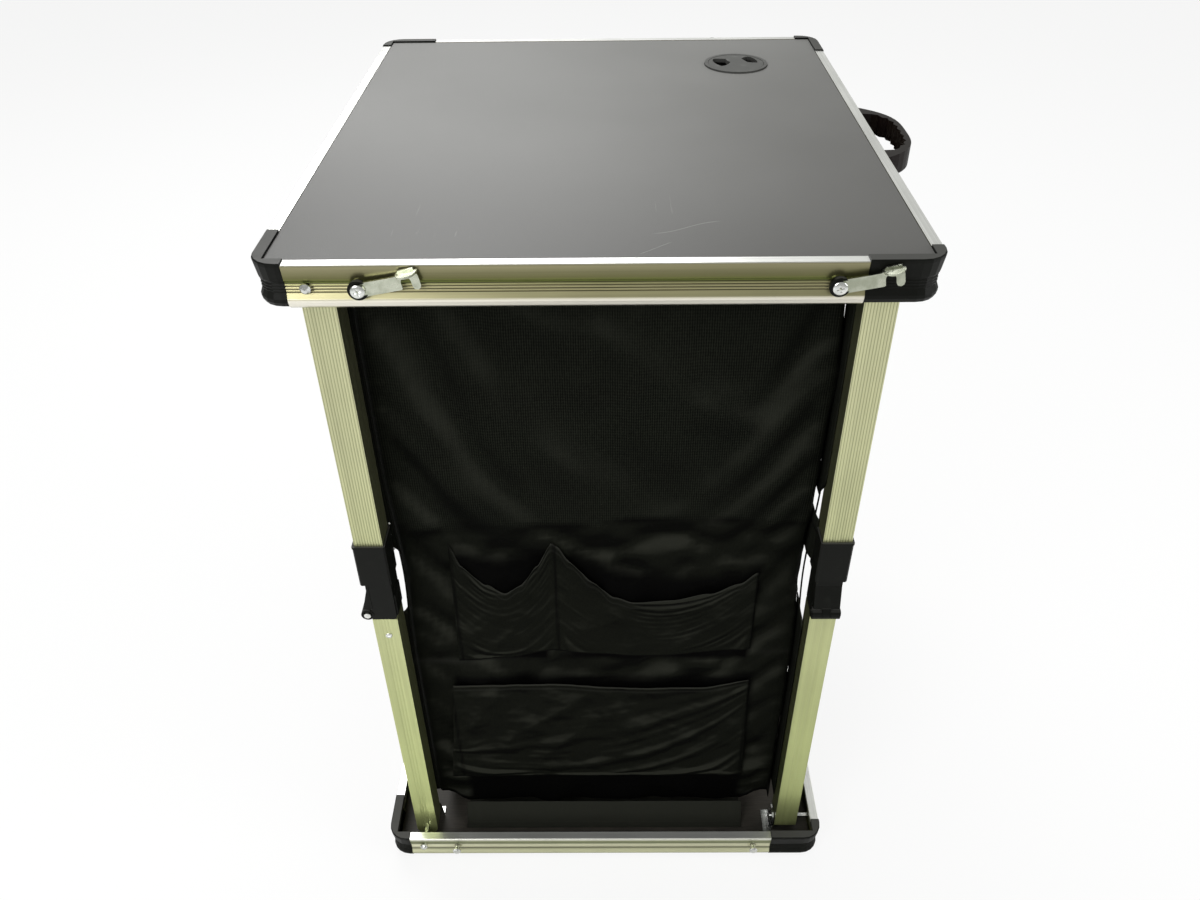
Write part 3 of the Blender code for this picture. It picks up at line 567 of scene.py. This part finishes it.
def merge(obj, distance=0.00002, outwards=True):
    only(obj)
    bpy.ops.object.mode_set(mode="EDIT")
    bpy.ops.mesh.select_all(action="SELECT")
    bpy.ops.mesh.remove_doubles(threshold=distance)
    if outwards:
        bpy.ops.mesh.normals_make_consistent(inside=False)
    bpy.ops.object.mode_set(mode="OBJECT")
    return obj


def mark(obj, name, rule):
    """Store rule(point) on every point, for the material to read."""
    layer = obj.data.attributes.new(name, "FLOAT", "POINT")
    for vertex in obj.data.vertices:
        layer.data[vertex.index].value = rule(vertex.co)


def faces_in(*pieces):
    return ", ".join(f"{piece.name}: {len(piece.data.polygons)} faces" for piece in pieces)


def area_of(*pieces):
    return sum(face.area for piece in pieces for face in piece.data.polygons)


def bell(value, centre, spread):
    return math.exp(-((value - centre) / spread) ** 2)


def ease(low, high, value):
    share = min(1.0, max(0.0, (value - low) / (high - low)))
    return share * share * (3 - 2 * share)


def through(points, x):
    """The height at x of a smooth line through (x, height) points, all in mm."""
    for (near, low), (far, high) in zip(points, points[1:]):
        if x <= far * MM:
            return (low + (high - low) * ease(near * MM, far * MM, x)) * MM
    return points[-1][1] * MM


def settle(cloth, hold, growth, frames, most):
    """Let a cloth hang. hold(point) is 1 where it is sewn or tied and small where it is free.
    No point may leave its place by more than most."""
    before = [vertex.co.copy() for vertex in cloth.data.vertices]
    group = cloth.vertex_groups.new(name="held")
    for vertex in cloth.data.vertices:
        group.add([vertex.index], hold(vertex.co), "REPLACE")
    change = cloth.modifiers.new("hang", "CLOTH")
    fall = change.settings
    fall.quality, fall.mass, fall.air_damping = 6, 0.15, 2.0
    fall.tension_stiffness = fall.compression_stiffness = 12.0
    fall.shear_stiffness, fall.bending_stiffness = 4.0, 0.12
    fall.vertex_group_mass = group.name
    fall.shrink_min = -growth
    change.point_cache.frame_end = frames
    for frame in range(1, frames + 1):
        scene.frame_set(frame)
    only(cloth)
    bpy.ops.object.modifier_apply(modifier=change.name)
    scene.frame_set(1)
    for vertex, start in zip(cloth.data.vertices, before):
        step = vertex.co - start
        if step.length > 0:
            vertex.co = start + step * (most * math.tanh(step.length / most) / step.length)
    cloth.vertex_groups.clear()


CLOTH_THICKNESS = 0.8 * MM


def thicken(cloth):
    return apply(cloth, "SOLIDIFY", thickness=CLOTH_THICKNESS, offset=0)


def cut(piece, tool):
    """Take a tool's shape out of a piece, and remove the tool."""
    apply(piece, "BOOLEAN", operation="DIFFERENCE", object=tool, solver="EXACT")
    bpy.data.objects.remove(tool)


def sinks_with_the_fold(piece):
    """Soft pieces move with the bottom tray, each with a mesh of its own."""
    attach(piece, "bottom_tray")
    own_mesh(piece)


print("modelling helpers ready")

# %% [markdown]
# The walls hang from the table's underside.  Ties at the knees and the shelf at the seam keep them
# square, and between those places they fall into slanting folds.  Small waves with some noise say
# which way the folds start, and a cloth simulation with a little too much cloth lets them settle.

# %% Cloth walls, cut, wrapped and hung
HALF_X, HALF_Y, ROUND = 205.4 * MM, 243 * MM, 5 * MM
CLOTH_TOP, CLOTH_HEM, NOTCH, SEAM = 792.5 * MM, 34 * MM, 22 * MM, 491 * MM
COLUMNS, ROWS = 232, 104
STRAIGHT_X, STRAIGHT_Y = 2 * (HALF_X - ROUND), 2 * (HALF_Y - ROUND)
BEND = math.pi / 2 * ROUND
GIRTH = 2 * (STRAIGHT_X + STRAIGHT_Y) + 4 * BEND
SEAM_LINE = ((-206, 484), (-118, 487), (-40, 490), (37, 498), (95, 500), (206, 492))
PAIR_MOUTH = ((-152, 470), (-143, 441), (-118, 413), (-100, 401), (-84, 413), (-66, 441), (-50, 470),
              (-45, 466), (-33, 447), (-10, 419), (12, 395), (31, 388), (70, 391), (110, 400), (140, 413),
              (158, 428))
PAIR_FOOT = ((-156, 299), (-100, 304), (-53, 315), (0, 310), (40, 307), (158, 316))
WIDE_MOUTH = ((-168, 258), (-60, 262), (30, 256), (110, 257), (161, 266))


def round_the_frame(distance):
    """The point, outward direction and distance from the middle of its side, going round from the front."""
    sides = (((1, 0), (0, -1), STRAIGHT_X), ((0, 1), (1, 0), STRAIGHT_Y),
             ((-1, 0), (0, 1), STRAIGHT_X), ((0, -1), (-1, 0), STRAIGHT_Y))
    distance = distance % GIRTH
    for run, out, straight in sides:
        reach = HALF_Y if out[1] else HALF_X
        if distance <= straight:
            along = distance - straight / 2
            return (run[0] * along + out[0] * reach, run[1] * along + out[1] * reach), out, along
        distance -= straight
        if distance <= BEND:
            turn = distance / ROUND
            centre = [run[k] * straight / 2 + out[k] * (reach - ROUND) for k in (0, 1)]
            way = [out[k] * math.cos(turn) + run[k] * math.sin(turn) for k in (0, 1)]
            return tuple(centre[k] + way[k] * ROUND for k in (0, 1)), tuple(way), straight / 2
        distance -= BEND
    return (0, 0), (0, -1), 0


def drawn_in(x, y, height):
    """The walls narrow at the knees and a little under the table."""
    pinch = 0.022 * bell(height, 432 * MM, 75 * MM)
    tuck = 0.006 * min(1.0, max(0.0, (height - 700 * MM) / (55 * MM)))
    return x * (1 - pinch - tuck), y * (1 - pinch / 3 - tuck / 2)


def front_wall(height):
    """How far out the front wall stands at a height, without its folds."""
    return drawn_in(0.0, HALF_Y, height)[1]


def folds(along, height, side):
    """How far out: folds fanning from a top corner above the seam, small crumples below it."""
    bend = noise.noise(Vector((along * 9, height * 9, side * 7.3)))
    across, down = along + 195 * MM, 815 * MM - height
    fan = math.sin(math.atan2(down, across) * 15 + bend * 2.4 + side)
    fan *= (0.6 + 0.4 * abs(fan)) * ease(10 * MM, 150 * MM, math.hypot(across, down))
    slant = math.sin((height * 0.8 + along * 0.9) / (13 * MM) + bend * 6)
    crumple = noise.turbulence(Vector((along * 26, height * 34, side * 3.1)), 3, False) - 0.45
    loose = ease(SEAM - 8 * MM, SEAM + 45 * MM, height) * min(1.0, (CLOTH_TOP - height) / (40 * MM))
    below = ease(SEAM + 4 * MM, SEAM - 10 * MM, height) if height < SEAM else 0.0
    deep = 5.5 if side == -1 else 3.4
    return ((3.2 * fan + 0.35 * slant) * loose + (crumple * deep + 0.5 * fan) * below - 1.2) * MM


def wall_point(distance, height):
    (x, y), out, along = round_the_frame(distance)
    half = (HALF_X if abs(out[1]) > 0.5 else HALF_Y) - ROUND
    near_hem = max(0.0, 1 - (height - CLOTH_HEM) / (80 * MM))
    lift = NOTCH * ease(half - 34 * MM, half - 8 * MM, abs(along)) * near_hem
    swell = folds(along, height, out[0] * 2 + out[1]) * max(0.0, 1 - (along / half) ** 6)
    x, y = drawn_in(x, y, height)
    return Vector((x + out[0] * swell + MIDDLE, y + out[1] * swell, height + lift))


def seam_at(x):
    return through(SEAM_LINE, x - MIDDLE)


def wall_held(point):
    """1 along the table, the hem and the corners, and small where the cloth hangs free."""
    at_edge = point.z > CLOTH_TOP - 6 * MM or point.z < CLOTH_HEM + 30 * MM
    off_x, off_y = abs(abs(point.x - MIDDLE) - HALF_X), abs(abs(point.y) - HALF_Y)
    return 1.0 if at_edge or max(off_x, off_y) < 9 * MM else 0.05


def kept_behind_pockets(point):
    """A point of the front wall that would stand out through a pocket goes back."""
    front = -front_wall(point.z)
    behind = 80 * MM < point.z < 475 * MM and abs(point.x - MIDDLE) < 172 * MM
    return max(point.y, front - 0.1 * MM) if behind and abs(point.y - front) < 9 * MM else point.y


walls = flat_grid("walls", GIRTH, CLOTH_TOP - CLOTH_HEM, COLUMNS, ROWS)
for vertex in walls.data.vertices:
    vertex.co = wall_point(vertex.co.x, vertex.co.y + CLOTH_HEM)
merge(walls)
settle(walls, wall_held, 0.014, 16, 3.2 * MM)
for vertex in walls.data.vertices:
    vertex.co.y = kept_behind_pockets(vertex.co)
print("walls wrapped:", len(walls.data.vertices), "points, girth", round(GIRTH, 3), "m")

# %% [markdown]
# Beside each leg the cloth ends in a narrow upright strip, which closes the gap to the leg above
# and below the knee.  The strips follow the legs round the tray: the front left one lies in the
# front plane and the front right one in the side plane.  Each is a small grid, joined to the walls.

# %% Corner strips
# each corner's side in x and y, and the way outwards in the plane in which its leg folds
CORNERS = {"fl": ((-1, -1), (-1, 0)), "fr": ((1, -1), (0, -1)),
           "br": ((1, 1), (1, 0)), "bl": ((-1, 1), (0, 1))}
STRIP_STEP, STRIP_REACH = 1.5 * MM, 11 * MM


def narrowing(open_end, low, high, height):
    """The share of its width that a strip has at a height: a slanting end, or a tie's short tab."""
    if open_end == "top":
        return ease(high, high - 20 * MM, height)
    return ease(low, low + 26 * MM, height) if open_end == "foot" else 0.85


def strip(corner, low, high, open_end):
    """A strip from the corner of the walls outwards, its outer edge cut slanting at the knee."""
    (side_x, side_y), way = CORNERS[corner]
    inner = 2.5 * MM if way[0] else 15 * MM
    cloth = flat_grid(f"strip_{corner}_{open_end}", STRIP_REACH + inner, high - low, 6, 48)
    for vertex in cloth.data.vertices:
        height = low + vertex.co.y
        edge = 12.5 * MM * narrowing(open_end, low, high, height) - 1.5 * MM
        out = min(vertex.co.x - inner, edge)
        step_x, step_y = (0, STRIP_STEP) if way[0] else (STRIP_STEP, 0)
        base = (side_x * (HALF_X + step_x), side_y * (HALF_Y + step_y))
        near_x, near_y = drawn_in(*base, height)
        share = max(0.0, out) / STRIP_REACH
        near_x, near_y = near_x + (base[0] - near_x) * share, near_y + (base[1] - near_y) * share
        vertex.co = (near_x + way[0] * out + MIDDLE, near_y + way[1] * out, height)
    return cloth


strips = [strip(corner, 62 * MM, 384 * MM, "top") for corner in CORNERS]
strips += [strip(corner, (456 if way[0] else 528) * MM, 768 * MM, "foot")
           for corner, (_, way) in CORNERS.items()]
strips += [strip(corner, 454 * MM, 506 * MM, "tie") for corner in ("fr", "bl")]
print("strips:", round(area_of(*strips) * 1e6), "square mm")
walls = joined([walls] + strips, "walls")

# %% [markdown]
# The faces take their cloth by height: open mesh above the seam, plain weave below.  Tape binds
# the hem.  The seam is darker in a thin line, and the cloth inside the pockets' mouths is painted
# dark, a painted shade.  Last the sheet gets its thickness and is attached to the bottom tray.

# %% Cloth walls, thickness and finishes
def pocket_mouth_shade(point):
    """1 on the front wall behind a pocket's open mouth, fading upwards: where the cloth gets painted shade.
    """
    x = point.x - MIDDLE
    if point.y > -HALF_Y + 12 * MM or abs(x) > 168 * MM:
        return 0.0
    if point.z < 290 * MM:
        edge = through(WIDE_MOUTH, x)
        return ease(edge + 13 * MM, edge + 6 * MM, point.z)
    edge = through(PAIR_MOUTH, x)
    reach = (462 * MM - edge) * (0.72 if x < -45 * MM else 0.55 - 0.3 * ease(0.0, 150 * MM, x))
    if point.z <= 300 * MM or reach <= 4 * MM or not -152 * MM < x < 158 * MM:
        return 0.0
    return ease(edge + reach + 12 * MM, edge + reach - 10 * MM, point.z)


def wall_trim(point):
    """Thin lighter lines: above the hem, and where the pockets are sewn on."""
    if point.y > -HALF_Y + 12 * MM:
        return 0.0
    foot_line = bell(point.z, through(PAIR_FOOT, point.x - MIDDLE) - 3 * MM, 2.5 * MM)
    return max(0.35 * foot_line, 0.3 * bell(point.z, CLOTH_HEM + 14 * MM, 4 * MM))


dress(walls, MESH_CLOTH, PLAIN_CLOTH, BINDING)
for face in walls.data.polygons:
    seam = seam_at(face.center.x) if face.center.y < -HALF_Y + 15 * MM else SEAM
    tape = face.center.z < CLOTH_HEM + 9 * MM
    face.material_index = 2 if tape else 0 if face.center.z > seam else 1
# deep: painted shade inside the pockets' mouths, and the dark seam line.
mark(walls, "deep", lambda point: max(pocket_mouth_shade(point), 0.9 * bell(point.z, seam_at(point.x), 1.8 * MM)))
mark(walls, "trim", wall_trim)
thicken(walls)
bpy.ops.object.shade_smooth()
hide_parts("cloth_walls")
sinks_with_the_fold(walls)
print(faces_in(walls))

# %% [markdown]
# Piping covers each corner seam: a thin round cord in a folded tape.  A poly curve with a bevel is
# swept along the corner and turned into a mesh.  Short pale rods stick out of the tie at the front
# left knee, a painted highlight where the tie glints.

# %% Piping and tie ends
def rod(name, points, radius, sides):
    """A round rod along points, as a mesh with closed ends."""
    curve = bpy.data.curves.new(name, "CURVE")
    curve.dimensions, curve.bevel_depth, curve.bevel_resolution = "3D", radius, sides
    curve.use_fill_caps = True
    line = curve.splines.new("POLY")
    line.points.add(len(points) - 1)
    for spot, place in zip(line.points, points):
        spot.co = (*place, 1.0)
    obj = bpy.data.objects.new(name, curve)
    scene.collection.objects.link(obj)
    only(obj)
    bpy.ops.object.convert(target="MESH")
    return merge(bpy.context.object)


PIPING_PROUD, STRIP_CUT = 2.6 * MM, 13 * MM
TIES = ((-204.9, 501), (-206.0, 487), (-204.6, 468))
TIE_FRONT, TIE_RUN = -246.6 * MM, Vector((0.9 * MM, -0.5 * MM, -1.6 * MM))


def piping_line(corner):
    (side_x, side_y), way = CORNERS[corner]
    line = []
    for step in range(61):
        height = (66 + 12 * step) * MM
        x, y = drawn_in(side_x * (HALF_X - 1.0 * MM), side_y * (HALF_Y - 1.0 * MM), height)
        x, y = (x, y + side_y * PIPING_PROUD) if way[0] else (x + side_x * PIPING_PROUD, y)
        line.append((x + MIDDLE, y, height))
    return line


piping = joined([rod(f"pipe_{corner}", piping_line(corner), 0.9 * MM, 2) for corner in CORNERS], "piping")
dress(piping, BINDING)
# Pale rods stand in for the small glints at the front left knee's tie: a painted highlight.
tips = []
for number, (x, z) in enumerate(TIES):
    start = Vector((x * MM + MIDDLE, TIE_FRONT, z * MM))
    tips.append(rod(f"tip_{number}", [start, start + TIE_RUN], 0.8 * MM, 2))
tie_glints = joined(tips, "tie_glints")
dress(tie_glints, moulded("pale tie glint", (0.62, 0.62, 0.60), 0.5))
for piece in (piping, tie_glints):
    smooth(piece, 60)
    sinks_with_the_fold(piece)
GIRTH + 8 * STRIP_CUT
print(faces_in(piping, tie_glints))

# %% [markdown]
# The front has two gusseted pockets side by side in one cloth, with a wide low one under them.
# Each starts as a flat grid whose upper edge is drawn to the mouth's line.  The cloth is fuller than
# its place, so it bags out under the mouth and falls into soft creases between its sewn edges.

# %% Pockets
LEG_PLANE, POCKET_SEAM = 248.1 * MM, -47.5


def pocket(name, ends, foot, mouth, columns, rows, sewn_middle=None):
    """ends: (left, right) at the mouth and at the foot, foot and mouth: lines of (x, height)."""
    (left, right), (foot_left, foot_right) = ends
    width, tall = (right - left) * MM, (mouth[0][1] - foot[0][1]) * MM
    cloth = flat_grid(name, width, tall, columns, rows)
    for vertex in cloth.data.vertices:
        across, share = vertex.co.x / width, vertex.co.y / tall
        x = (left + (right - left) * across) * MM
        x_low = (foot_left + (foot_right - foot_left) * across) * MM
        top, bottom = through(mouth, x), through(foot, x)
        height = bottom + (top - bottom) * share
        place = x_low + (x - x_low) * share
        full = min(1.0, max(0.0, min(across, 1 - across)) * (right - left) / 22) ** 0.5
        if sewn_middle is not None:
            full *= min(1.0, abs(place - sewn_middle * MM) / (16 * MM)) ** 0.5
        crease = noise.noise(Vector((place * 22 + height * 12, height * 13, 3.0)))
        sharp = 0.5 - abs(noise.noise(Vector((place * 15 - height * 9, height * 11, 6.0)))) * 2.2
        fine = noise.turbulence(Vector((place * 44, height * 44, 9.0)), 3, False) - 0.4
        out = 1.5 + full * (0.7 + 1.2 * share ** 0.7) + full * (crease * 1.9 + sharp * 1.3) + fine * 0.7
        out = min(max(out * MM, 1.0 * MM), LEG_PLANE - HALF_Y)
        vertex.co = (place + MIDDLE, -front_wall(height) - out, height)
    return cloth


def held_edges(cloth, sewn_middle=None):
    """Sides and foot are sewn, the mouth and the middle of each pocket are free."""
    across = [vertex.co.x for vertex in cloth.data.vertices]
    low_x, high_x, low_z = min(across), max(across), min(vertex.co.z for vertex in cloth.data.vertices)

    def hold(point):
        close = min(point.x - low_x, high_x - point.x, point.z - low_z)
        if sewn_middle is not None:
            close = min(close, abs(point.x - MIDDLE - sewn_middle * MM))
        return 1.0 if close < 5 * MM else 0.06
    return hold


def finish_pocket(cloth, node, mouth, sewn, sewn_middle=None):
    """Let it hang between the wall and the legs, then stitch lines, thickness and finish, and attach it to
    the bottom tray.
    """
    settle(cloth, held_edges(cloth, sewn_middle), 0.004, 10, 1.6 * MM)
    for vertex in cloth.data.vertices:
        wall = front_wall(vertex.co.z)
        vertex.co.y = -min(max(-vertex.co.y, wall + 1.0 * MM), LEG_PLANE - 0.5 * MM)

    # A painted highlight along the mouth's edge, and a real stitch line 9 mm below it.
    def mouth_highlight_and_stitches(point):
        below = point.z - through(mouth, point.x - MIDDLE)
        return max(0.8 * bell(below, -1.0 * MM, 1.6 * MM), 0.35 * bell(below, -9.0 * MM, 1.0 * MM))

    # Painted shade in the folds along the sewn lines.
    def sewn_fold_shade(point):
        return 0.85 * bell(min(abs(point.x - MIDDLE - line * MM) for line in sewn), 0, 1.6 * MM)

    mark(cloth, "trim", mouth_highlight_and_stitches)
    mark(cloth, "deep", sewn_fold_shade)
    dress(cloth, PLAIN_CLOTH)
    thicken(cloth)
    bpy.ops.object.shade_smooth()
    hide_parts(node)
    sinks_with_the_fold(cloth)
    print(faces_in(cloth))


upper_pockets = pocket("pockets_pair", ((-152, 158), (-156, 158)), PAIR_FOOT, PAIR_MOUTH, 150, 70,
                       POCKET_SEAM)
wide_pocket = pocket("pocket_wide", ((-168, 161), (-184, 166)), ((-168, 88), (161, 90)), WIDE_MOUTH,
                     130, 72)
finish_pocket(upper_pockets, "upper_pockets", PAIR_MOUTH, (-152, POCKET_SEAM, 158),
              POCKET_SEAM)
finish_pocket(wide_pocket, "wide_pocket", WIDE_MOUTH, (-170, 162))

# %% [markdown]
# A grey cloth lies on the floor board, and its front edge is turned up under the hem.  Stitch lines
# cross the turned-up edge near both ends.

# %% Floor cloth
def along_path(points, distance):
    for near, far in zip(points, points[1:]):
        length = (far - near).length
        if distance <= length:
            return near.lerp(far, distance / length)
        distance -= length
    return points[-1]


PROFILE = ((235, 10.1), (-266, 10.1), (-257.5, 10.9), (-244.6, 34.6))
path = [Vector((0, y * MM, z * MM)) for y, z in PROFILE]
FLOOR_LENGTH = sum((far - near).length for near, far in zip(path, path[1:]))
FLOOR_WIDTH, FLOOR_LEFT = 342 * MM, -172 * MM
floor_cloth = flat_grid("floor_lining", FLOOR_WIDTH, FLOOR_LENGTH, 72, 170)
for vertex in floor_cloth.data.vertices:
    spot = along_path(path, vertex.co.y)
    wave = noise.noise(Vector((vertex.co.x * 30, vertex.co.y * 30, 1.7))) * (1 if spot.z > 12 * MM else 0)
    vertex.co = (vertex.co.x + FLOOR_LEFT + MIDDLE, spot.y - abs(wave) * 0.8 * MM, spot.z)


def end_stitches(point):
    """Two lines near each end of the turned-up edge."""
    off_middle = abs(point.x - MIDDLE + 1 * MM)
    lines = max(bell(off_middle, edge * MM, 0.9 * MM) for edge in (158, 163))
    return 0.7 * lines if point.z > 11 * MM else 0.0


mark(floor_cloth, "trim", end_stitches)
dress(floor_cloth, GREY_CLOTH)
thicken(floor_cloth)
merge(floor_cloth)
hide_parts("floor_cloth")
sinks_with_the_fold(floor_cloth)
print("floor cloth", round(FLOOR_LENGTH, 3), "m long")

# %% [markdown]
# The screws that hold the hooks and the knee plugs have domed heads with a cross recess.  A head
# starts as a sphere, is squashed and cut flat, and two crossed bars are cut out of it.  Plain low
# domes close the ends of the knee pins.

# %% Screw heads and pin ends
FRAME_X, FRAME_Y = 260, 300
HEAD_ROOT, RECESS_TURN = 0.3 * MM, 0.3
PLUG_SCREW, PIN_END = (42.5, 24.95, 373), (25.5, 38, 403.5)
HOOK_HEIGHT = 781
HOOKS = [(f"{side}_{letter}", corner, way, along)
         for side, corner, way in (("front", "fl", 1), ("back", "br", -1))
         for letter, along in (("a", 81), ("b", 439))]


def at_corner(corner, along, inwards, height):
    """A point in mm given from one corner: along the fold, inwards and up."""
    (side_x, side_y), (way_x, way_y) = CORNERS[corner]
    x = FRAME_X * side_x - way_x * along + way_y * inwards
    y = FRAME_Y * side_y - way_y * along - way_x * inwards
    return Vector((x, y, height)) * MM + Vector((MIDDLE, 0, 0))


def dome(name, radius, rise, crossed):
    """A domed head standing on z = 0, with or without a cross recess."""
    head = begin(name, "sphere", segments=32, ring_count=16, radius=1)
    for vertex in head.data.vertices:
        x, y, lip = vertex.co.x * radius, vertex.co.y * radius, max(0.0, vertex.co.z)
        vertex.co = (x, y, lip ** 0.8 * rise if lip > 0 else -HEAD_ROOT)
    merge(head, 0.01 * MM)
    for turn in (RECESS_TURN, RECESS_TURN + math.pi / 2) if crossed else ():
        bar = begin("bar", "cube", size=1)
        bar.data.transform(Matrix.Diagonal((radius * 1.1, radius * 0.26, rise * 1.1, 1)))
        bar.data.transform(Matrix.Rotation(turn, 4, "Z"))
        bar.data.transform(Matrix.Translation((0, 0, rise)))
        cut(head, bar)
    return head


def seat(head, place, out):
    """Turn a head's axis from z to out and move it to its place, in its mesh."""
    turn = Vector((0, 0, 1)).rotation_difference(out).to_matrix().to_4x4()
    head.data.transform(Matrix.Translation(place) @ turn)
    dress(head, PLATE)
    smooth(head, 35)
    return head


def outermost(node, place, out, reach):
    """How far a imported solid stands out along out, near the line through place."""
    gaps = [vertex.co - place for vertex in frame["nodes"][node].data.vertices]
    return max(gap.dot(out) for gap in gaps if (gap - out * gap.dot(out)).length < reach)


made = []
for corner, (_, (way_x, way_y)) in CORNERS.items():
    out = Vector((-way_y, way_x, 0))
    plug_screw = dome(f"plug_screw_{corner}", 3.5 * MM, 1.3 * MM, True)
    seat(plug_screw, at_corner(corner, *PLUG_SCREW), out)
    place = at_corner(corner, *PIN_END)
    pin_end = dome(f"pin_end_{corner}", 3.4 * MM, 0.5 * MM, False)
    seat(pin_end, place + out * (outermost(f"knee_block_{corner}", place, out, 5 * MM) + 0.05 * MM), out)
    for head in (plug_screw, pin_end):
        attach(head, f"lower_leg_{corner}")
        made.append(head.name)
for label, corner, way, along in HOOKS:
    hook, out = f"latch_hook_{label}", Vector((0, -way, 0))
    place = at_corner(corner, along, -2.5, HOOK_HEIGHT)
    head = dome(f"hook_screw_{label}", 5.55 * MM, 1.5 * MM, True)
    seat(head, place + out * (outermost(hook, place, out, 3 * MM) - 1.0 * MM), out)
    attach(head, hook)
    made.append(head.name)
print("screws and pin ends:", made)

# %% [markdown]
# A black spacer ring surrounds each hook's eye, open towards the arm.  It starts as a short
# cylinder, a bar is cut out of it where the arm leaves, and its edge is bevelled.

# %% Spacer rings
ARM_RISE = math.radians(11.1)
RING, BORE, RING_DEEP = 7.9 * MM, 4.6 * MM, 3.4 * MM
ARM_GAP = (12 * MM, 9.6 * MM, 9 * MM)


def spacer_ring(name, place, arm):
    ring = begin(name, "cylinder", vertices=48, radius=RING, depth=RING_DEEP)
    cut(ring, begin("bore", "cylinder", vertices=48, radius=BORE, depth=ARM_GAP[2]))
    gap = begin("gap", "cube", size=1)
    gap.data.transform(Matrix.Diagonal((*ARM_GAP, 1)))
    gap.data.transform(Matrix.Translation((ARM_GAP[0] / 2, 0, 0)))
    cut(ring, gap)
    merge(ring, 0.01 * MM)
    apply(ring, "BEVEL", width=0.25 * MM, segments=2, limit_method="ANGLE")
    out = arm.cross(Vector((0, 0, 1))).normalized()
    turned = Matrix((arm, out.cross(arm), out)).transposed().to_4x4()
    ring.data.transform(Matrix.Translation(place) @ turned)
    dress(ring, PLASTIC)
    smooth(ring, 35)
    return ring


for label, corner, way, along in HOOKS:
    arm = Vector((way * math.cos(ARM_RISE), 0, math.sin(ARM_RISE)))
    ring = spacer_ring(f"hook_spacer_{label}", at_corner(corner, along, -2.3, HOOK_HEIGHT), arm)
    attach(ring, f"latch_hook_{label}")
    print(faces_in(ring))

# %% [markdown]
# Two shelf boards inside are covered in the same black cloth, so their edges are round.  Each is
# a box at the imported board's size with bevelled edges, and its cloth reads a flat UV map.

# %% Covered shelf boards
def covered_shelf(name, node):
    low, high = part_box(node)
    board = begin(name, "cube", size=1, location=(low + high) / 2, scale=high - low)
    bpy.ops.object.transform_apply(location=True, rotation=True, scale=True)
    apply(board, "BEVEL", width=1.6 * MM, segments=3, limit_method="NONE")
    lay_uv(board)
    dress(board, PLAIN_CLOTH)
    smooth(board, 40)
    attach(board, node)
    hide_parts(node)
    return board


for level in ("low", "high"):
    print(faces_in(covered_shelf(f"covered_shelf_{level}", f"shelf_{level}")))

# %% [markdown]
# A plain pale floor, and soft light from three wide lamps.  The world gives an even fill and is
# pure white where the camera sees it.  The floor is mostly white to the camera, and still keeps
# the cupboard's shadow.

# %% Floor, lamps and world
def pale_floor():
    finish = Finish("pale floor", 0.9)
    spots = finish.noise(3.0, 3.0)
    shade = finish.mix(spots, (0.86, 0.86, 0.86), (0.88, 0.88, 0.88))
    material = finish.set(base_color=shade)
    seen = finish.node("LightPath", output="Is Camera Ray")
    glow = finish.node("Emission", None, {"Color": (1, 1, 1, 1), "Strength": 1.0})
    lit = Wire(finish, finish.shader.outputs[0])
    surface = finish.node("MixShader", None, {0: seen * 0.86, 1: lit, 2: glow})
    finish.tree.links.new(surface.socket, finish.tree.nodes["Material Output"].inputs["Surface"])
    return material


ground = begin("ground", "plane", size=30, location=(0, 8, -0.2 * MM))
dress(ground, pale_floor())


def lamp(name, place, target, size, power):
    light = bpy.data.lights.new(name, "AREA")
    light.shape, light.size, light.energy = "DISK", size, power
    obj = bpy.data.objects.new(name, light)
    scene.collection.objects.link(obj)
    obj.location = place
    obj.rotation_euler = (Vector(target) - Vector(place)).to_track_quat("-Z", "Y").to_euler()


lamp("overhead_softbox", (-0.6, 1.6, 2.6), (0, 0, 0.6), 2.2, 62)
lamp("front_softbox", (-1.5, -2.2, 1.9), (0, 0, 0.4), 1.8, 42)
lamp("side_softbox", (2.3, -0.8, 1.4), (0, 0, 0.4), 1.6, 22)

world = scene.world = bpy.data.worlds.new("studio")
world.use_nodes = True
tree = world.node_tree
background = tree.nodes["Background"]
background.inputs["Color"].default_value = (0.94, 0.96, 0.92, 1)
background.inputs["Strength"].default_value = 0.42
white, rays, either, chosen = [tree.nodes.new("ShaderNode" + kind)
                               for kind in ("Background", "LightPath", "Math", "MixShader")]
white.inputs["Strength"].default_value = 1.0
either.operation = "MAXIMUM"
tree.links.new(rays.outputs["Is Camera Ray"], either.inputs[0])
tree.links.new(rays.outputs["Is Transmission Ray"], either.inputs[1])
for number, node in enumerate((either, background, white)):
    tree.links.new(node.outputs[0], chosen.inputs[number])
tree.links.new(chosen.outputs[0], tree.nodes["World Output"].inputs["Surface"])
scene.view_settings.view_transform = "Standard"
